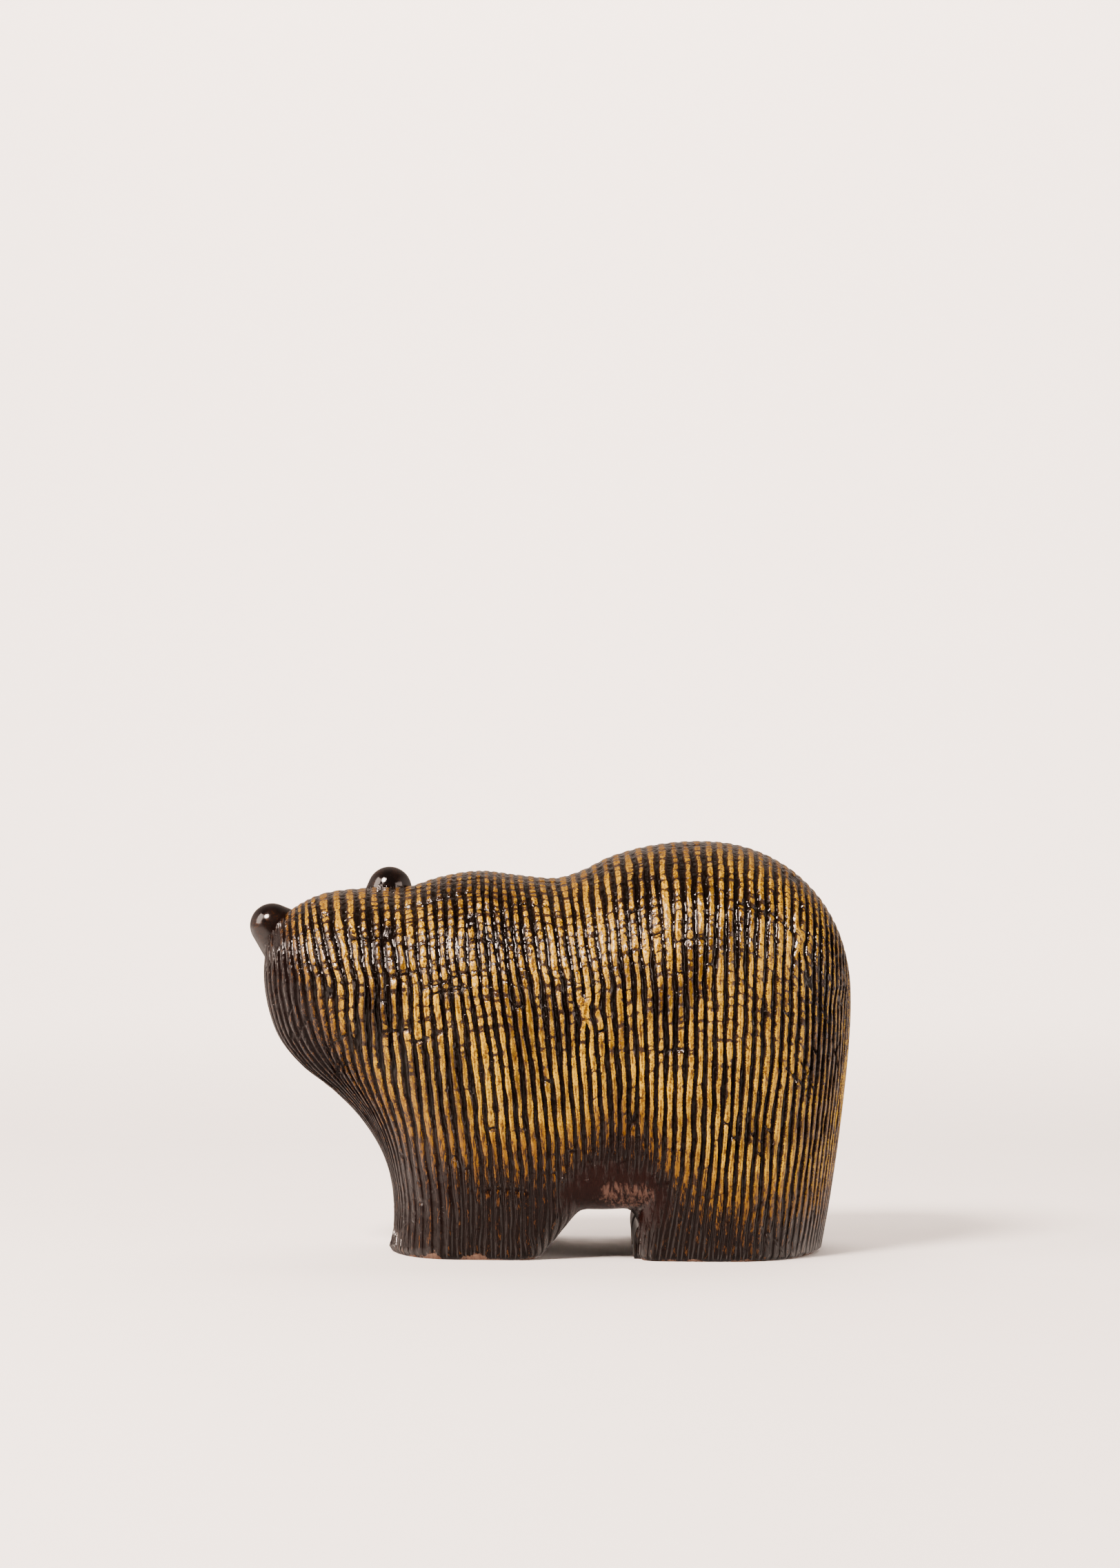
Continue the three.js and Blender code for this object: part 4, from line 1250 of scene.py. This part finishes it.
# %% Give each face its material
LOOKS_DOWN, ON_FLOOR, MOSTLY_KNOB = -0.9, 0.05, 0.5
bear.data.materials.clear()
for finish in (rib_glaze, knob_glaze, sole_clay):
    bear.data.materials.append(finish)
knob_value = np.empty(len(bear.data.vertices))
bear.data.attributes["knob"].data.foreach_get("value", knob_value)
counts = [0, 0, 0]
for face in bear.data.polygons:
    corners = list(face.vertices)
    if face.normal.z < LOOKS_DOWN and z[corners].max() < ON_FLOOR:
        face.material_index = 2
    elif knob_value[corners].min() > MOSTLY_KNOB:
        face.material_index = 1
    counts[face.material_index] += 1
print("faces in ribbed glaze, knob glaze and bare clay:", counts)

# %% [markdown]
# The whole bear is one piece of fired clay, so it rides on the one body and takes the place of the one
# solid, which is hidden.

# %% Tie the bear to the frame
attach(bear, "root")
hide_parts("bear")
print("bear rides on root")

# %% [markdown]
# The studio is a pale sheet that lies flat and then curves up behind the object, so no horizon shows. It is
# a profile of points drawn out sideways, which gives the curve with very few faces.

# %% Pale sheet
SHEET_COLOR = rgb(0.80, 0.80, 0.795)
SHEET_HALF_WIDTH = 3.0
SHEET_FRONT = -0.58
SWEEP_START, SWEEP_RADIUS, SWEEP_TOP = 1.5, 0.7, 3.0
turn = np.linspace(0, math.pi / 2, 25)
profile = [(SHEET_FRONT, 0.0)]
profile += [(SWEEP_START + SWEEP_RADIUS * math.sin(a), SWEEP_RADIUS * (1 - math.cos(a))) for a in turn]
profile.append((SWEEP_START + SWEEP_RADIUS, SWEEP_TOP))
places = [(side * SHEET_HALF_WIDTH, run, up) for run, up in profile for side in (-1, 1)]
faces = [(2 * k, 2 * k + 1, 2 * k + 3, 2 * k + 2) for k in range(len(profile) - 1)]
sheet_mesh = bpy.data.meshes.new("pale_sheet")
sheet_mesh.from_pydata(places, [], faces)
sheet_mesh.polygons.foreach_set("use_smooth", [True] * len(faces))
pale_sheet = bpy.data.objects.new("pale_sheet", sheet_mesh)
bpy.context.scene.collection.objects.link(pale_sheet)
sheet_finish, tree, shader = new_material("pale_paper")
shader.inputs["Roughness"].default_value = 0.9
shader.inputs["Specular IOR Level"].default_value = 0.1
fibres = fade_between(tree, noise(tree, spot(tree), 0.05, 4.0, 0.6), 0.3, 0.7)
paper = mix_colors(tree, fibres, SHEET_COLOR, rgb(*(c * 0.99 for c in SHEET_COLOR[:3])))
tree.links.new(paper, shader.inputs["Base Color"])
sheet_mesh.materials.append(sheet_finish)
pale_sheet.visible_glossy = False
pale_sheet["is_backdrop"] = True
print("sheet faces:", len(faces))

# %% [markdown]
# A small round softbox high on the front left is the key. It gives the bright spots on ears and ribs, and
# the shadow its soft edge. Weak boxes at the left and right lift the ends of the body. One above and behind
# lights the sheet and leaves the floor in front of the bear darker. It is hidden from mirror rays, because
# its image would lie along the back like a veil. The last one lights the sheet behind, turned away from the
# bear. All have the warm tint of the photograph's white.

# %% Lamps
LAMP_COLOR = (1.0, 0.79, 0.68)


def softbox(name, toward, distance, size, watts, shape="RECTANGLE", height=None, aim=(0, 0, 0.06)):
    """A flat lamp at a distance from its aim, turned to face it."""
    lamp = bpy.data.lights.new(name, "AREA")
    lamp.shape, lamp.size, lamp.energy = shape, size, watts
    lamp.color = LAMP_COLOR
    if height:
        lamp.size_y = height
    made = bpy.data.objects.new(name, lamp)
    away = Vector(toward).normalized()
    made.location = Vector(aim) + away * distance
    made.rotation_euler = (-away).to_track_quat("-Z", "Y").to_euler()
    bpy.context.scene.collection.objects.link(made)
    return made


key = softbox("key_softbox", (-0.44, -0.52, 0.73), 1.5, 0.45, 86, "DISK")
left = softbox("left_softbox", (-1, -0.25, 0.55), 1.2, 0.6, 16, height=0.8)
right = softbox("right_softbox", (0.80, -0.57, 0.35), 1.2, 0.8, 7, height=0.6)
back = softbox("back_softbox", (0, 0.6, 1), 1.5, 1.6, 32, height=0.8)
back.visible_glossy = False
wall = softbox("wall_softbox", (0, -1.3, 0.45), 1.38, 2.4, 190, height=0.6, aim=(0, 2.2, 1.15))
print("lamps:", [lamp.name for lamp in (key, left, right, back, wall)])

# %% [markdown]
# A glossy object mirrors the whole room, and here the world stands in for the room. It is dim on the
# camera's side, so the black glaze stays black, and brighter at both sides. Below the horizon it takes the
# place of the sheet, which is hidden from mirror rays and would be too bright there. Past the sheet's edges
# the camera sees one pale tone, so other views have no dark border.

# %% Dim room
BACKGROUND_COLOR = rgb(5.1, 4.0, 3.4)
ROOM_GLOW, SIDE_GLOW = rgb(0.12, 0.095, 0.08), rgb(1.0, 0.79, 0.68)
FLOOR_GLOW, SIDE_FLOOR_GLOW, WALL_GLOW = rgb(0.55, 0.43, 0.37), rgb(2.4, 1.9, 1.63), rgb(0.5, 0.4, 0.34)
room = bpy.data.worlds.new("room")
room.use_nodes = True
tree = room.node_tree
tree.nodes.clear()
toward = add_node(tree, "SeparateXYZ", {0: add_node(tree, "TexCoord").outputs["Generated"]}).outputs
glow = mix_colors(tree, fade_between(tree, toward["Y"], -0.1, 0.85), ROOM_GLOW, WALL_GLOW)
aside = calc(tree, "ABSOLUTE", toward["X"])
glow = mix_colors(tree, fade_between(tree, aside, 0.55, 0.95), glow, SIDE_GLOW)
floor_glow = mix_colors(tree, fade_between(tree, aside, 0.35, 0.85), FLOOR_GLOW, SIDE_FLOOR_GLOW)
glow = mix_colors(tree, fade_between(tree, toward["Z"], 0.02, -0.2), glow, floor_glow)
dim = add_node(tree, "Background", {"Color": glow})
pale = add_node(tree, "Background", {"Color": BACKGROUND_COLOR})
seen = add_node(tree, "MixShader", {0: add_node(tree, "LightPath").outputs["Is Camera Ray"],
                                    1: dim.outputs[0], 2: pale.outputs[0]})
add_node(tree, "OutputWorld", {"Surface": seen.outputs[0]})
bpy.context.scene.world = room
print("room nodes:", len(tree.nodes))

# %% [markdown]
# The photograph was taken from about 1.2 m with a long lens, level and a little above the bear's back. The
# lens is worked out from the picture's height, because the picture is taller than wide.

# %% Camera
PHOTO_HEIGHT, PIXELS_PER_RADIAN = 2273, 6062
SENSOR_HEIGHT = 36.0
CAMERA_PLACE = (0.00246, -1.1916, 0.1318)
camera_data = bpy.data.cameras.new("camera")
camera_data.sensor_fit = "VERTICAL"
camera_data.sensor_height = SENSOR_HEIGHT
camera_data.lens = PIXELS_PER_RADIAN / PHOTO_HEIGHT * SENSOR_HEIGHT
camera = bpy.data.objects.new("camera", camera_data)
camera.location = CAMERA_PLACE
camera.rotation_euler = (math.radians(90), 0, 0)
bpy.context.scene.collection.objects.link(camera)
bpy.context.scene.camera = camera
print("lens in mm:", round(camera_data.lens, 1))

# %% [markdown]
# The last cell measures the box of the finished bear and keeps it beside the solid's box.

# %% Sizes and finish
visual_low, visual_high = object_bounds()
sizes = {"cad": [list(cad_low), list(cad_high)], "visual": [list(visual_low), list(visual_high)]}
print("visual box in mm:", [round(v * 1000, 1) for v in visual_high - visual_low])
